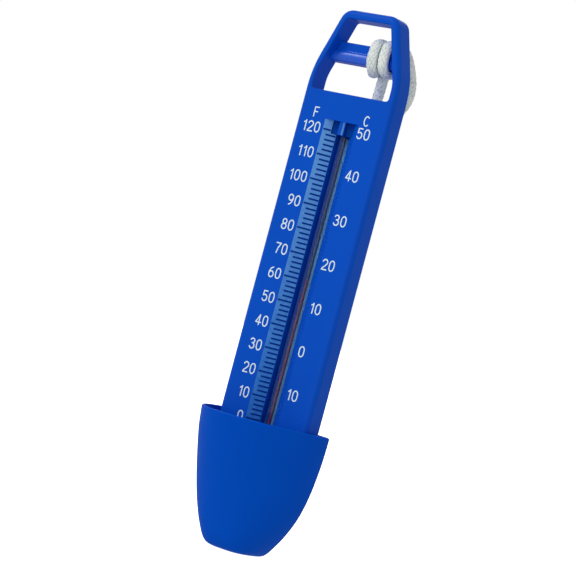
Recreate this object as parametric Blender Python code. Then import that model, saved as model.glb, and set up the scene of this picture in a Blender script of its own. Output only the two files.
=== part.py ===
"""Floating pool thermometer: a hollow plastic body with a glass spirit tube, a scoop cup and a cord.

Metres, +Z up. The scale faces -Y, and the part stands on the flat base of its cup at z = 0.
Depths of the body are counted from its front face, back towards +Y.
"""

import math

import bmesh
import bpy
from mathutils import Matrix, Vector

MM = 0.001
GAP = 0.3 * MM

# The whole object.
HEIGHT = 200 * MM
CUP_DEPTH = 33.2 * MM
CUP_BACK_Y = CUP_DEPTH / 2
CUP_WALL = 1.2 * MM

# The body: a thin hollow plate whose upper end is an open handle.
BODY_HALF = 19.6 * MM
BODY_DEPTH = 8.6 * MM
BODY_BACK_Y = CUP_BACK_Y - CUP_WALL - GAP
FRONT_Y = BODY_BACK_Y - BODY_DEPTH
FOOT_HALF = 12.5 * MM
FOOT_Z = 9 * MM
FOOT_SHOULDER_Z = 22 * MM
SHOULDER_Z = 176.4 * MM
TOP_HALF = 11.6 * MM
FRONT_ROUNDING = 1.8 * MM
FRONT_WALL = 1.6 * MM
SIDE_WALL = 2.0 * MM

# The handle: one window with a cross bar for the cord.
RAIL = 2.8 * MM
TOP_RAIL = 3.4 * MM
WINDOW_BOTTOM_Z = 169.2 * MM
WINDOW_TOP_Z = HEIGHT - TOP_RAIL
WINDOW_HALF = BODY_HALF - RAIL
WINDOW_TOP_HALF = 9.6 * MM
BAR_BOTTOM_Z = 181.0 * MM
BAR_TOP_Z = 188.6 * MM
BAR_FRONT = 4.8 * MM
BAR_BEAD = 3.8 * MM

# The trough that holds the glass tube.
TROUGH_HALF = 7.15 * MM
CHANNEL_HALF = 2.9 * MM
SLOPE_DEPTH = 3.5 * MM
TROUGH_TOP_Z = 159.1 * MM
TROUGH_BOTTOM_Z = 15 * MM
CHANNEL_TOP_Z = 160.8 * MM
LUG_HALF = 1.35 * MM
LUG_BOTTOM_Z = 154.3 * MM
LUG_BACK = 2.9 * MM
WEB_HALF = 4.7 * MM
WEB_FRONT = 2.5 * MM
WEB_BACK = 3.1 * MM

# The closed chambers beside the trough, and the cover behind them.
COVER_THICKNESS = 1.4 * MM
COVER_FRONT = BODY_DEPTH - COVER_THICKNESS
RECESS_FRONT = COVER_FRONT - 0.2 * MM
CHAMBER_INNER = 8.6 * MM
CHAMBER_OUTER = BODY_HALF - SIDE_WALL
BOSS_X = 12.6 * MM
BOSS_RADIUS = 2.3 * MM
COVER_BOSS_ZS = (162 * MM, 100 * MM)
CUP_BOSS_Z = 36 * MM

# The screws.
SCREW_RADIUS = 0.75 * MM
SCREW_HEAD_RADIUS = 1.8 * MM
SCREW_HEAD_HEIGHT = 1.1 * MM
SCREW_TIP_DEPTH = 2.8 * MM

# The glass tube, and the spirit in it at about 16 degrees Celsius.
TUBE_DEPTH = 5.2 * MM
TUBE_RADIUS = 1.8 * MM
TUBE_BOTTOM_Z = 20 * MM
TUBE_TOP_Z = 156.6 * MM
BORE_RADIUS = 0.7 * MM
BULB_CAVITY_RADIUS = 1.25 * MM
BULB_NECK_Z = 33 * MM
SPIRIT_RADIUS = 0.4 * MM
LEVEL_Z = 101.4 * MM
MENISCUS_HEIGHT = 1.2 * MM

# The cup: height above the base, half width, depth from the back, and squareness of the plan.
CUP_STATIONS = (
    (0.0, 8.4, 14.2, 2.9),
    (0.5, 9.8, 15.8, 2.9),
    (1.4, 11.0, 16.8, 2.9),
    (2.6, 12.1, 17.6, 2.8),
    (4.8, 13.7, 18.7, 2.6),
    (8.9, 16.4, 20.2, 2.35),
    (15.3, 19.6, 22.4, 2.1),
    (21.7, 21.7, 24.6, 2.0),
    (28.2, 23.0, 26.7, 2.0),
    (34.6, 23.8, 28.9, 2.02),
    (41.1, 24.3, 31.0, 2.05),
    (48.2, 24.5, 33.2, 2.0),
)
CUP_FLOOR_STATION = (1.6, 11.6, 17.4, 2.8)
CUP_CORNER = 2.0 * MM

# The cord.
CORD = 4 * MM
CORD_RADIUS = CORD / 2
HANK_X = -4.2 * MM
HANK_Z = 122 * MM
HANK_STRAIGHT = 24 * MM
HANK_BEND = 12.4 * MM
HANK_WAIST = 5.6 * MM
HANK_FRONT = 10.2 * MM
HANK_DEPTH = 12.6 * MM
BAND_HEIGHT = 7 * MM
BAND_THICKNESS = 0.8 * MM
KNOT_X = 4.0 * MM


def clear_scene():
    for obj in list(bpy.data.objects):
        bpy.data.objects.remove(obj, do_unlink=True)


def material(name, color, roughness, metallic=0.0):
    made = bpy.data.materials.new(name)
    made.use_nodes = True
    shader = made.node_tree.nodes["Principled BSDF"]
    shader.inputs["Base Color"].default_value = (*color, 1.0)
    shader.inputs["Roughness"].default_value = roughness
    shader.inputs["Metallic"].default_value = metallic
    return made


def add_object(name, bm, finish=None, at=(0, 0, 0)):
    """An object made of a bmesh, whose faces are turned outwards first."""
    bmesh.ops.recalc_face_normals(bm, faces=bm.faces)
    mesh = bpy.data.meshes.new(name)
    bm.to_mesh(mesh)
    bm.free()
    obj = bpy.data.objects.new(name, mesh)
    obj.location = at
    bpy.context.collection.objects.link(obj)
    if finish:
        mesh.materials.append(finish)
        mesh.shade_smooth()
        mesh.set_sharp_from_angle(angle=math.radians(35))
    return obj


def cutter(name, bm, at=(0, 0, 0)):
    obj = add_object(name, bm, at=at)
    obj.hide_render = True
    obj.display_type = "WIRE"
    return obj


def combine(target, operation, tool):
    modifier = target.modifiers.new(tool.name, "BOOLEAN")
    modifier.operation = operation
    modifier.object = tool
    return modifier


def rounded(corners, segments=5):
    """The outline through corners (u, v, radius), with each corner turned into an arc."""
    points = []
    for i, (u, v, radius) in enumerate(corners):
        here = Vector((u, v))
        back = (Vector(corners[i - 1][:2]) - here).normalized()
        ahead = (Vector(corners[(i + 1) % len(corners)][:2]) - here).normalized()
        if radius <= 0:
            points.append(here)
            continue
        half = back.angle(ahead) / 2
        centre = here + (back + ahead).normalized() * radius / math.sin(half)
        start = here + back * radius / math.tan(half) - centre
        end = here + ahead * radius / math.tan(half) - centre
        for step in range(segments + 1):
            points.append(centre + start.slerp(end, step / segments).normalized() * radius)
    return points


def mirrored(right_side):
    """Corners of one side, from bottom to top, made into a whole symmetric outline."""
    return [*right_side, *((-u, v, radius) for u, v, radius in reversed(right_side))]


def prism(outline, near, far):
    """A solid with this outline in X and Z, from y = near to y = far."""
    bm = bmesh.new()
    base = bm.faces.new([bm.verts.new((u, near, v)) for u, v in outline])
    made = bmesh.ops.extrude_face_region(bm, geom=[base])
    moved = [item for item in made["geom"] if isinstance(item, bmesh.types.BMVert)]
    bmesh.ops.translate(bm, verts=moved, vec=(0, far - near, 0))
    return bm


def upright_prism(outline, low, high):
    """A solid with this outline in X and Y, from z = low to z = high."""
    bm = bmesh.new()
    base = bm.faces.new([bm.verts.new((u, v, low)) for u, v in outline])
    made = bmesh.ops.extrude_face_region(bm, geom=[base])
    moved = [item for item in made["geom"] if isinstance(item, bmesh.types.BMVert)]
    bmesh.ops.translate(bm, verts=moved, vec=(0, 0, high - low))
    return bm


def block(low, high):
    bm = bmesh.new()
    bmesh.ops.create_cube(bm, size=1)
    size = Vector(high) - Vector(low)
    bmesh.ops.scale(bm, verts=bm.verts, vec=size)
    bmesh.ops.translate(bm, verts=bm.verts, vec=Vector(low) + size / 2)
    return bm


def turned(profile, segments=20):
    """A solid turned about Z from a profile of (radius, height), bottom to top."""
    bm = bmesh.new()
    rings = []
    for radius, height in profile:
        if radius == 0:
            rings.append([bm.verts.new((0, 0, height))])
            continue
        angles = [math.tau * i / segments for i in range(segments)]
        ring = [(radius * math.cos(a), radius * math.sin(a), height) for a in angles]
        rings.append([bm.verts.new(point) for point in ring])
    for low, high in zip(rings, rings[1:]):
        for i in range(segments):
            corners = [low[i % len(low)], low[(i + 1) % len(low)]]
            corners += [high[(i + 1) % len(high)], high[i % len(high)]]
            bm.faces.new(dict.fromkeys(corners))
    for ring in (rings[0], rings[-1]):
        if len(ring) > 1:
            bm.faces.new(ring)
    return bm


def body_y(depth):
    return FRONT_Y + depth


def body_outline():
    return rounded(
        mirrored(
            [
                (FOOT_HALF, FOOT_Z, 2 * MM),
                (BODY_HALF, FOOT_SHOULDER_Z, 6 * MM),
                (BODY_HALF, SHOULDER_Z, 40 * MM),
                (TOP_HALF, HEIGHT, 5 * MM),
            ]
        )
    )


def window_outline():
    return rounded(
        mirrored(
            [
                (WINDOW_HALF, WINDOW_BOTTOM_Z, 1.2 * MM),
                (WINDOW_HALF, SHOULDER_Z - 1 * MM, 0),
                (WINDOW_TOP_HALF, WINDOW_TOP_Z, 2 * MM),
            ]
        )
    )


def trough_outline():
    """The trough in X and Y: two slopes down to a channel that runs through to the cover."""
    side = [
        (TROUGH_HALF + 0.6 * MM, body_y(-0.5 * MM)),
        (CHANNEL_HALF, body_y(SLOPE_DEPTH)),
        (CHANNEL_HALF, body_y(COVER_FRONT)),
    ]
    return [*side, *((-x, y) for x, y in reversed(side))]


def add_bar(shell):
    """The cross bar: a flat upper half, and a rounded bead along its lower half."""
    section = [
        (BODY_DEPTH, BAR_BOTTOM_Z),
        (BODY_DEPTH, BAR_TOP_Z),
        (BAR_FRONT, BAR_TOP_Z),
        (BAR_FRONT, 185.3 * MM),
        (BAR_BEAD + 0.2 * MM, 184.9 * MM),
        (BAR_BEAD, 184.2 * MM),
        (BAR_BEAD + 0.2 * MM, 182.8 * MM),
        (BAR_FRONT, BAR_BOTTOM_Z + 0.2 * MM),
    ]
    lean = (WINDOW_HALF - WINDOW_TOP_HALF) / (WINDOW_TOP_Z - SHOULDER_Z)
    bm = bmesh.new()
    ends = []
    for side in (-1, 1):
        loop = []
        for depth, z in section:
            reach = WINDOW_HALF + 1.2 * MM - lean * (z - SHOULDER_Z)
            loop.append(bm.verts.new((side * reach, body_y(depth), z)))
        ends.append(loop)
        bm.faces.new(loop)
    for i in range(len(section)):
        after = (i + 1) % len(section)
        bm.faces.new((ends[0][i], ends[0][after], ends[1][after], ends[1][i]))
    combine(shell, "UNION", cutter("cross_bar_shape", bm))


def add_chambers(shell):
    """The two hollow sides, stepped so that the wall behind each slope keeps its thickness."""
    top = WINDOW_BOTTOM_Z - 2.7 * MM
    recess = rounded(
        mirrored(
            [
                (FOOT_HALF - 1.0 * MM, FOOT_Z + 1.6 * MM, 1.5 * MM),
                (CHAMBER_OUTER + 0.6 * MM, FOOT_SHOULDER_Z + 0.6 * MM, 5 * MM),
                (CHAMBER_OUTER + 0.6 * MM, top + 1 * MM, 1.5 * MM),
            ]
        )
    )
    shape = prism(recess, body_y(RECESS_FRONT), body_y(BODY_DEPTH + 1 * MM))
    combine(shell, "DIFFERENCE", cutter("cover_recess", shape))
    for side, label in ((-1, "left"), (1, "right")):
        deep = [
            (side * CHAMBER_INNER, FOOT_Z + 2.5 * MM),
            (side * (FOOT_HALF - 1.5 * MM), FOOT_Z + 2.5 * MM),
            (side * CHAMBER_OUTER, FOOT_SHOULDER_Z + 0.8 * MM),
            (side * CHAMBER_OUTER, top),
            (side * CHAMBER_INNER, top),
        ]
        shape = prism(deep, body_y(FRONT_WALL), body_y(RECESS_FRONT + 0.1 * MM))
        combine(shell, "DIFFERENCE", cutter(f"chamber_{label}", shape))


def add_bosses(shell):
    for side, label in ((-1, "left"), (1, "right")):
        for z in (*COVER_BOSS_ZS, CUP_BOSS_Z):
            at = (side * BOSS_X, body_y(0), z)
            name = f"boss_{label}_{z / MM:.0f}"
            boss = turned([(BOSS_RADIUS, FRONT_WALL - 0.3 * MM), (BOSS_RADIUS, RECESS_FRONT)], 16)
            bmesh.ops.rotate(boss, verts=boss.verts, matrix=Matrix.Rotation(-math.pi / 2, 3, "X"))
            combine(shell, "UNION", cutter(name, boss, at))
            hole_radius = SCREW_RADIUS + GAP
            hole = turned([(hole_radius, SCREW_TIP_DEPTH - GAP), (hole_radius, BODY_DEPTH)], 12)
            bmesh.ops.rotate(hole, verts=hole.verts, matrix=Matrix.Rotation(-math.pi / 2, 3, "X"))
            combine(shell, "DIFFERENCE", cutter(f"{name}_hole", hole, at))


def make_front_shell(finish):
    """The moulding that carries the scale, the handle, the trough and the screw bosses."""
    bm = prism(body_outline(), body_y(0), body_y(BODY_DEPTH))
    front = [edge for edge in bm.edges if all(v.co.y < body_y(0.1 * MM) for v in edge.verts)]
    bmesh.ops.bevel(bm, geom=front, offset=FRONT_ROUNDING, segments=4, profile=0.5, affect="EDGES")
    shell = add_object("front_shell", bm, finish)
    window = prism(window_outline(), body_y(-2 * MM), body_y(BODY_DEPTH + 2 * MM))
    combine(shell, "DIFFERENCE", cutter("handle_window", window))
    add_bar(shell)
    trough = upright_prism(trough_outline(), TROUGH_BOTTOM_Z, TROUGH_TOP_Z)
    combine(shell, "DIFFERENCE", cutter("trough", trough))
    slot = block(
        (-CHANNEL_HALF, body_y(LUG_BACK), TROUGH_BOTTOM_Z + 0.5 * MM),
        (CHANNEL_HALF, body_y(COVER_FRONT), CHANNEL_TOP_Z),
    )
    combine(shell, "DIFFERENCE", cutter("tube_slot", slot))
    pocket = block((-WEB_HALF, body_y(-1 * MM), LUG_BOTTOM_Z), (WEB_HALF, body_y(WEB_FRONT), TROUGH_TOP_Z))
    combine(shell, "DIFFERENCE", cutter("lug_pocket", pocket))
    web_top = TROUGH_TOP_Z + 0.2 * MM
    web = block((-WEB_HALF, body_y(WEB_FRONT), LUG_BOTTOM_Z), (WEB_HALF, body_y(WEB_BACK), web_top))
    combine(shell, "UNION", cutter("lug_web", web))
    lug_outline = [(LUG_HALF, body_y(LUG_BACK))]
    for step in range(7):
        angle = math.pi * step / 6
        arc_y = body_y(LUG_HALF + 0.3 * MM - LUG_HALF * math.sin(angle))
        lug_outline.append((LUG_HALF * math.cos(angle), arc_y))
    lug_outline.append((-LUG_HALF, body_y(LUG_BACK)))
    lug = upright_prism(lug_outline, LUG_BOTTOM_Z, TROUGH_TOP_Z + 0.4 * MM)
    combine(shell, "UNION", cutter("tube_lug", lug))
    add_chambers(shell)
    add_bosses(shell)
    return shell


def make_rear_cover(finish):
    """The flat plate that closes the chambers and forms the floor of the tube's channel."""
    inset = 0.25 * MM
    outline = rounded(
        mirrored(
            [
                (FOOT_HALF - 1.4 * MM, FOOT_Z + 1.6 * MM + inset, 1.5 * MM),
                (CHAMBER_OUTER + 0.6 * MM - inset, FOOT_SHOULDER_Z + 0.8 * MM, 5 * MM),
                (CHAMBER_OUTER + 0.6 * MM - inset, WINDOW_BOTTOM_Z - 1.7 * MM - inset, 1.5 * MM),
            ]
        )
    )
    cover = add_object("rear_cover", prism(outline, body_y(COVER_FRONT), body_y(BODY_DEPTH)), finish)
    for side, label in ((-1, "left"), (1, "right")):
        for z in (*COVER_BOSS_ZS, CUP_BOSS_Z):
            hole = turned(
                [
                    (SCREW_RADIUS + GAP, COVER_FRONT - 0.5 * MM),
                    (SCREW_RADIUS + GAP, BODY_DEPTH - SCREW_HEAD_HEIGHT),
                    (SCREW_HEAD_RADIUS + GAP, BODY_DEPTH + 0.05 * MM),
                    (SCREW_HEAD_RADIUS + GAP, BODY_DEPTH + 0.5 * MM),
                ]
            )
            bmesh.ops.rotate(hole, verts=hole.verts, matrix=Matrix.Rotation(-math.pi / 2, 3, "X"))
            at = (side * BOSS_X, body_y(0), z)
            combine(cover, "DIFFERENCE", cutter(f"cover_hole_{label}_{z / MM:.0f}", hole, at))
    return cover


def make_screw(name, x, z, head_depth, finish):
    """A countersunk screw along Y, whose head ends at head_depth behind the front face."""
    profile = [
        (0, SCREW_TIP_DEPTH),
        (SCREW_RADIUS, SCREW_TIP_DEPTH + 1.2 * MM),
        (SCREW_RADIUS, head_depth - SCREW_HEAD_HEIGHT),
        (SCREW_HEAD_RADIUS, head_depth - 0.15 * MM),
        (SCREW_HEAD_RADIUS, head_depth),
    ]
    bm = turned(profile, 16)
    bmesh.ops.rotate(bm, verts=bm.verts, matrix=Matrix.Rotation(-math.pi / 2, 3, "X"))
    return add_object(name, bm, finish, (x, body_y(0), z))


def cup_loop(bm, z, half, depth, power, back_y):
    """One ring of the cup: a flat back with small round corners, and a bowed front."""
    corner = min(CUP_CORNER, half / 3)
    points = []
    for step in range(25):
        angle = math.pi * step / 24
        across = math.copysign(abs(math.cos(angle)) ** (2 / power), -math.cos(angle))
        ahead = abs(math.sin(angle)) ** (2 / power)
        points.append((half * across, back_y - corner - (depth - corner) * ahead, z))
    for side, steps in ((1, range(1, 5)), (-1, range(4, 0, -1))):
        for step in steps:
            angle = math.pi / 2 * step / 4.5
            x = side * (half - corner + corner * math.cos(angle))
            points.append((x, back_y - corner + corner * math.sin(angle), z))
    return [bm.verts.new(point) for point in points]


def make_cup(finish):
    """The open scoop round the bulb."""
    bm = bmesh.new()
    outer = [
        cup_loop(bm, z * MM, half * MM, depth * MM, power, CUP_BACK_Y)
        for z, half, depth, power in CUP_STATIONS
    ]
    inner = [
        cup_loop(
            bm, z * MM, half * MM - CUP_WALL, depth * MM - 2 * CUP_WALL, power, CUP_BACK_Y - CUP_WALL
        )
        for z, half, depth, power in (CUP_FLOOR_STATION, *CUP_STATIONS[4:])
    ]
    rings = [*outer, *reversed(inner)]
    for low, high in zip(rings, rings[1:]):
        for i in range(len(low)):
            after = (i + 1) % len(low)
            bm.faces.new((low[i], low[after], high[after], high[i]))
    bm.faces.new(rings[0])
    bm.faces.new(rings[-1])
    cup = add_object("scoop_cup", bm, finish)
    for side, label in ((-1, "left"), (1, "right")):
        depth = BODY_DEPTH + GAP + CUP_WALL
        hole = turned(
            [
                (SCREW_RADIUS + GAP, BODY_DEPTH - 1 * MM),
                (SCREW_RADIUS + GAP, depth - SCREW_HEAD_HEIGHT),
                (SCREW_HEAD_RADIUS + GAP, depth + 0.05 * MM),
                (SCREW_HEAD_RADIUS + GAP, depth + 1 * MM),
            ]
        )
        bmesh.ops.rotate(hole, verts=hole.verts, matrix=Matrix.Rotation(-math.pi / 2, 3, "X"))
        at = (side * BOSS_X, body_y(0), CUP_BOSS_Z)
        combine(cup, "DIFFERENCE", cutter(f"cup_hole_{label}", hole, at))
    return cup


def make_fillings(foam, steel):
    """The foam blocks that float the body, and the weights that keep it upright."""
    front, back = body_y(FRONT_WALL + 0.4 * MM), body_y(RECESS_FRONT - 0.2 * MM)
    near, far = CHAMBER_INNER + 0.5 * MM, CHAMBER_OUTER - 0.5 * MM
    spans = {"lower": (40 * MM, 96 * MM), "upper": (104 * MM, 158 * MM)}
    for side, label in ((-1, "left"), (1, "right")):
        left, right = sorted((side * near, side * far))
        for level, (low, high) in spans.items():
            shape = block((left, front, low), (right, back, high))
            add_object(f"float_block_{label}_{level}", shape, foam)
        left, right = sorted((side * near, side * (far - 1.4 * MM)))
        shape = block((left, front, 22.5 * MM), (right, back, 32 * MM))
        add_object(f"ballast_{label}", shape, steel)


def make_tube(glass):
    """The glass tube, open at the top, where the sealed tip closes it."""
    profile = [
        (0, TUBE_BOTTOM_Z),
        (TUBE_RADIUS * 0.6, TUBE_BOTTOM_Z + 0.3 * MM),
        (TUBE_RADIUS, TUBE_BOTTOM_Z + 1.4 * MM),
        (TUBE_RADIUS, TUBE_TOP_Z),
        (BORE_RADIUS, TUBE_TOP_Z),
        (BORE_RADIUS, BULB_NECK_Z),
        (BULB_CAVITY_RADIUS, BULB_NECK_Z - 1.5 * MM),
        (BULB_CAVITY_RADIUS, TUBE_BOTTOM_Z + 1.6 * MM),
        (0, TUBE_BOTTOM_Z + 1.0 * MM),
    ]
    at = (0, body_y(TUBE_DEPTH), 0)
    add_object("glass_tube", turned(profile, 24), glass, at)
    tip_low = TUBE_TOP_Z + GAP
    tip = [(TUBE_RADIUS, tip_low), (TUBE_RADIUS * 0.9, tip_low + 0.5 * MM)]
    tip += [(TUBE_RADIUS * 0.5, tip_low + 0.9 * MM), (0, tip_low + 1.0 * MM)]
    add_object("glass_tip", turned(tip, 24), glass, at)


def make_spirit(red):
    """The spirit: the bulb's fill, the column, and the column's moving top."""
    at = (0, body_y(TUBE_DEPTH), 0)
    radius = BULB_CAVITY_RADIUS - GAP
    fill = [(radius, TUBE_BOTTOM_Z + 2.2 * MM), (radius, BULB_NECK_Z - 2.2 * MM)]
    fill.append((SPIRIT_RADIUS, BULB_NECK_Z - 0.9 * MM))
    add_object("spirit_reservoir", turned(fill, 16), red, at)
    meniscus_low = LEVEL_Z - MENISCUS_HEIGHT
    column = [(SPIRIT_RADIUS, BULB_NECK_Z - 0.6 * MM), (SPIRIT_RADIUS, meniscus_low - GAP)]
    add_object("spirit_column", turned(column, 16), red, at)
    meniscus = turned([(SPIRIT_RADIUS, -MENISCUS_HEIGHT), (SPIRIT_RADIUS, 0)], 16)
    add_object("spirit_meniscus", meniscus, red, (0, body_y(TUBE_DEPTH), LEVEL_Z))


def make_tube_holders(rubber):
    """The soft stop above the tube's tip, and the saddle that keeps its lower end in the channel."""
    half = CHANNEL_HALF - GAP
    stop = block(
        (-half, body_y(LUG_BACK + GAP), 158.2 * MM + GAP),
        (half, body_y(COVER_FRONT - GAP), CHANNEL_TOP_Z - GAP),
    )
    add_object("tube_top_cushion", stop, rubber)
    outline = []
    for radius, turn in ((CHANNEL_HALF - 0.2 * MM, 1), (TUBE_RADIUS + GAP, -1)):
        for step in range(13):
            angle = -math.pi * (step if turn > 0 else 12 - step) / 12
            outline.append((radius * math.cos(angle), radius * math.sin(angle)))
    saddle = upright_prism(outline, 37 * MM, 42 * MM)
    add_object("tube_saddle", saddle, rubber, (0, body_y(TUBE_DEPTH), 0))


def smooth_route(points, spacing=CORD * 0.8):
    """Evenly spaced points on a smooth curve through the route's points, in world metres."""
    path = [Vector((x, body_y(depth * MM) / MM, z)) * MM for x, depth, z in points]
    ends = [2 * path[0] - path[1], *path, 2 * path[-1] - path[-2]]
    fine = []
    for a, b, c, d in zip(ends, ends[1:], ends[2:], ends[3:]):
        for step in range(24):
            t = step / 24
            fine.append(
                0.5
                * (2 * b + (c - a) * t + (2 * a - 5 * b + 4 * c - d) * t**2)
                + 0.5 * (3 * b - 3 * c + d - a) * t**3
            )
    fine.append(path[-1])
    lengths = [0.0]
    for a, b in zip(fine, fine[1:]):
        lengths.append(lengths[-1] + (b - a).length)
    count = max(2, round(lengths[-1] / spacing))
    spaced, place = [], 0
    for step in range(count + 1):
        wanted = lengths[-1] * step / count
        while place < len(fine) - 2 and lengths[place + 1] < wanted:
            place += 1
        part = (wanted - lengths[place]) / (lengths[place + 1] - lengths[place])
        spaced.append(fine[place].lerp(fine[place + 1], part))
    return spaced


# The cord's routes: x, depth behind the front face, and z, in millimetres.
HITCH = (
    (5.4, 11.0, 176.8),
    (5.4, 11.0, 180.0),
    (5.15, 11.0, 184.5),
    (4.65, 10.95, 189.0),
    (4.35, 8.2, 191.3),
    (4.25, 5.2, 191.35),
    (4.15, 2.2, 189.7),
    (4.25, 1.7, 186.8),
    (4.35, 1.25, 184.0),
    (4.5, 1.7, 180.5),
    (3.95, 4.3, 178.3),
    (2.65, 7.4, 178.3),
    (1.15, 10.5, 179.7),
    (0.55, 13.0, 182.2),
    (1.75, 15.1, 184.2),
    (5.0, 15.6, 184.8),
    (8.4, 15.6, 184.8),
    (11.1, 14.9, 184.2),
    (12.05, 12.8, 182.2),
    (11.45, 10.5, 179.7),
    (10.45, 7.4, 178.3),
    (9.75, 4.3, 178.3),
    (9.45, 1.7, 180.5),
    (9.25, 1.25, 184.0),
    (9.15, 1.7, 186.8),
    (9.0, 2.2, 189.7),
    (8.9, 5.2, 191.35),
    (8.95, 8.2, 191.4),
    (9.3, 10.4, 190.9),
    (9.5, 12.6, 190.5),
    (9.45, 14.6, 189.8),
    (9.35, 16.4, 188.9),
)
LEG_A = ((5.4, 11.0, 176.4), (4.9, 11.4, 170.5), (4.2, 12.1, 164.5), (4.0, 12.3, 159.9))
LEG_B = (
    (9.29, 17.5, 188.35),
    (9.2, 19.0, 187.1),
    (9.9, 20.0, 184.6),
    (11.2, 20.0, 181.7),
    (12.4, 19.6, 178.5),
    (13.1, 18.8, 175.2),
    (13.2, 17.6, 171.8),
    (12.6, 15.9, 168.5),
    (11.0, 14.1, 163.9),
    (8.8, 12.5, 158.2),
)


def add_cord(name, route, finish):
    curve = bpy.data.curves.new(name, "CURVE")
    curve.dimensions = "3D"
    curve.bevel_depth = CORD_RADIUS
    curve.bevel_resolution = 2
    curve.use_fill_caps = True
    points = smooth_route(route)
    spline = curve.splines.new("POLY")
    spline.points.add(len(points) - 1)
    for point, place in zip(spline.points, points):
        point.co = (*place, 1)
    curve.materials.append(finish)
    obj = bpy.data.objects.new(name, curve)
    bpy.context.collection.objects.link(obj)
    return obj


def hank_outline(segments=12):
    """Two round ends, and between them two sides that the band draws in to a waist."""
    outer = HANK_BEND + CORD_RADIUS
    points = []
    for side in (1, -1):
        for step in range(1, segments):
            along = side * (2 * step / segments - 1)
            reach = outer - HANK_WAIST * (0.5 + 0.5 * math.cos(math.pi * along))
            points.append((HANK_X + side * reach, HANK_Z + along * HANK_STRAIGHT))
        for step in range(segments + 1):
            angle = math.pi * step / segments
            x = HANK_X + side * outer * math.cos(angle)
            points.append((x, HANK_Z + side * (HANK_STRAIGHT + outer * math.sin(angle))))
    return points


def make_hank(cord, band):
    """The spare cord, wound up and banded behind the body, and the knot at its far end."""
    front, back = body_y(HANK_FRONT), body_y(HANK_FRONT + HANK_DEPTH)
    add_object("cord_hank", prism(hank_outline(), front, back), cord)
    low, high = HANK_Z - BAND_HEIGHT / 2, HANK_Z + BAND_HEIGHT / 2
    outer = HANK_BEND + CORD_RADIUS - HANK_WAIST + 0.3 * MM
    reach = outer + GAP + BAND_THICKNESS
    shape = block(
        (HANK_X - reach, front - GAP - BAND_THICKNESS, low),
        (HANK_X + reach, back + GAP + BAND_THICKNESS, high),
    )
    ring = add_object("hank_band", shape, band)
    inside = block(
        (HANK_X - outer - GAP, front - GAP, low - 1 * MM),
        (HANK_X + outer + GAP, back + GAP, high + 1 * MM),
    )
    combine(ring, "DIFFERENCE", cutter("hank_band_inside", inside))
    knot = bmesh.new()
    bmesh.ops.create_icosphere(knot, subdivisions=2, radius=1)
    bmesh.ops.scale(knot, verts=knot.verts, vec=(5.2 * MM, 4.4 * MM, 4.4 * MM))
    knot_z = HANK_Z - HANK_STRAIGHT - HANK_BEND - CORD_RADIUS - 4.4 * MM - GAP
    knot_y = back - 4.6 * MM
    add_object("cord_end_knot", knot, cord, (KNOT_X, knot_y, knot_z))
    for index, lean in enumerate((-1, 1), start=1):
        tail = turned([(CORD_RADIUS * 0.9, -11 * MM), (CORD_RADIUS * 0.9, 0)], 12)
        obj = add_object(f"cord_tail_{index}", tail, cord)
        obj.rotation_euler = (0, -lean * math.radians(12), 0)
        obj.location = (KNOT_X + lean * 2.6 * MM, knot_y, knot_z - 4.6 * MM)


def main():
    clear_scene()
    blue = material("blue_plastic", (0.004, 0.09, 0.48), 0.35)
    cup_blue = material("cup_blue_plastic", (0.004, 0.1, 0.5), 0.4)
    cover_blue = material("cover_blue_plastic", (0.004, 0.085, 0.46), 0.4)
    glass = material("glass", (0.8, 0.85, 0.88), 0.05)
    red = material("red_spirit", (0.6, 0.02, 0.03), 0.2)
    foam = material("foam", (0.9, 0.9, 0.88), 0.9)
    steel = material("steel", (0.6, 0.6, 0.62), 0.35, 1.0)
    rubber = material("rubber", (0.05, 0.05, 0.05), 0.8)
    cord = material("cord", (0.75, 0.78, 0.72), 0.9)
    band = material("band", (0.85, 0.8, 0.65), 0.6)
    make_front_shell(blue)
    make_rear_cover(cover_blue)
    make_cup(cup_blue)
    make_fillings(foam, steel)
    make_tube(glass)
    make_spirit(red)
    make_tube_holders(rubber)
    for side, label in ((-1, "left"), (1, "right")):
        for z, level in zip(COVER_BOSS_ZS, ("upper", "middle")):
            name = f"cover_screw_{label}_{level}"
            make_screw(name, side * BOSS_X, z, BODY_DEPTH, steel)
        cup_head = BODY_DEPTH + GAP + CUP_WALL
        make_screw(f"cup_screw_{label}", side * BOSS_X, CUP_BOSS_Z, cup_head, steel)
    add_cord("cord_hitch", HITCH, cord)
    add_cord("cord_leg_left", LEG_A, cord)
    add_cord("cord_leg_right", LEG_B, cord)
    make_hank(cord, band)


main()
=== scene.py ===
"""Looks of the floating pool thermometer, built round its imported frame.

Metres, +Z up, and the scale faces -Y. A depth is counted from the body's front face, back
towards +Y. Sizes written in millimetres are multiplied by MM where they are given.
"""

import logging
import math
from collections.abc import Callable, Iterable, Sequence
from dataclasses import dataclass, field
from enum import Enum

import bmesh
import bpy
from mathutils import Matrix, Vector, noise


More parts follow.
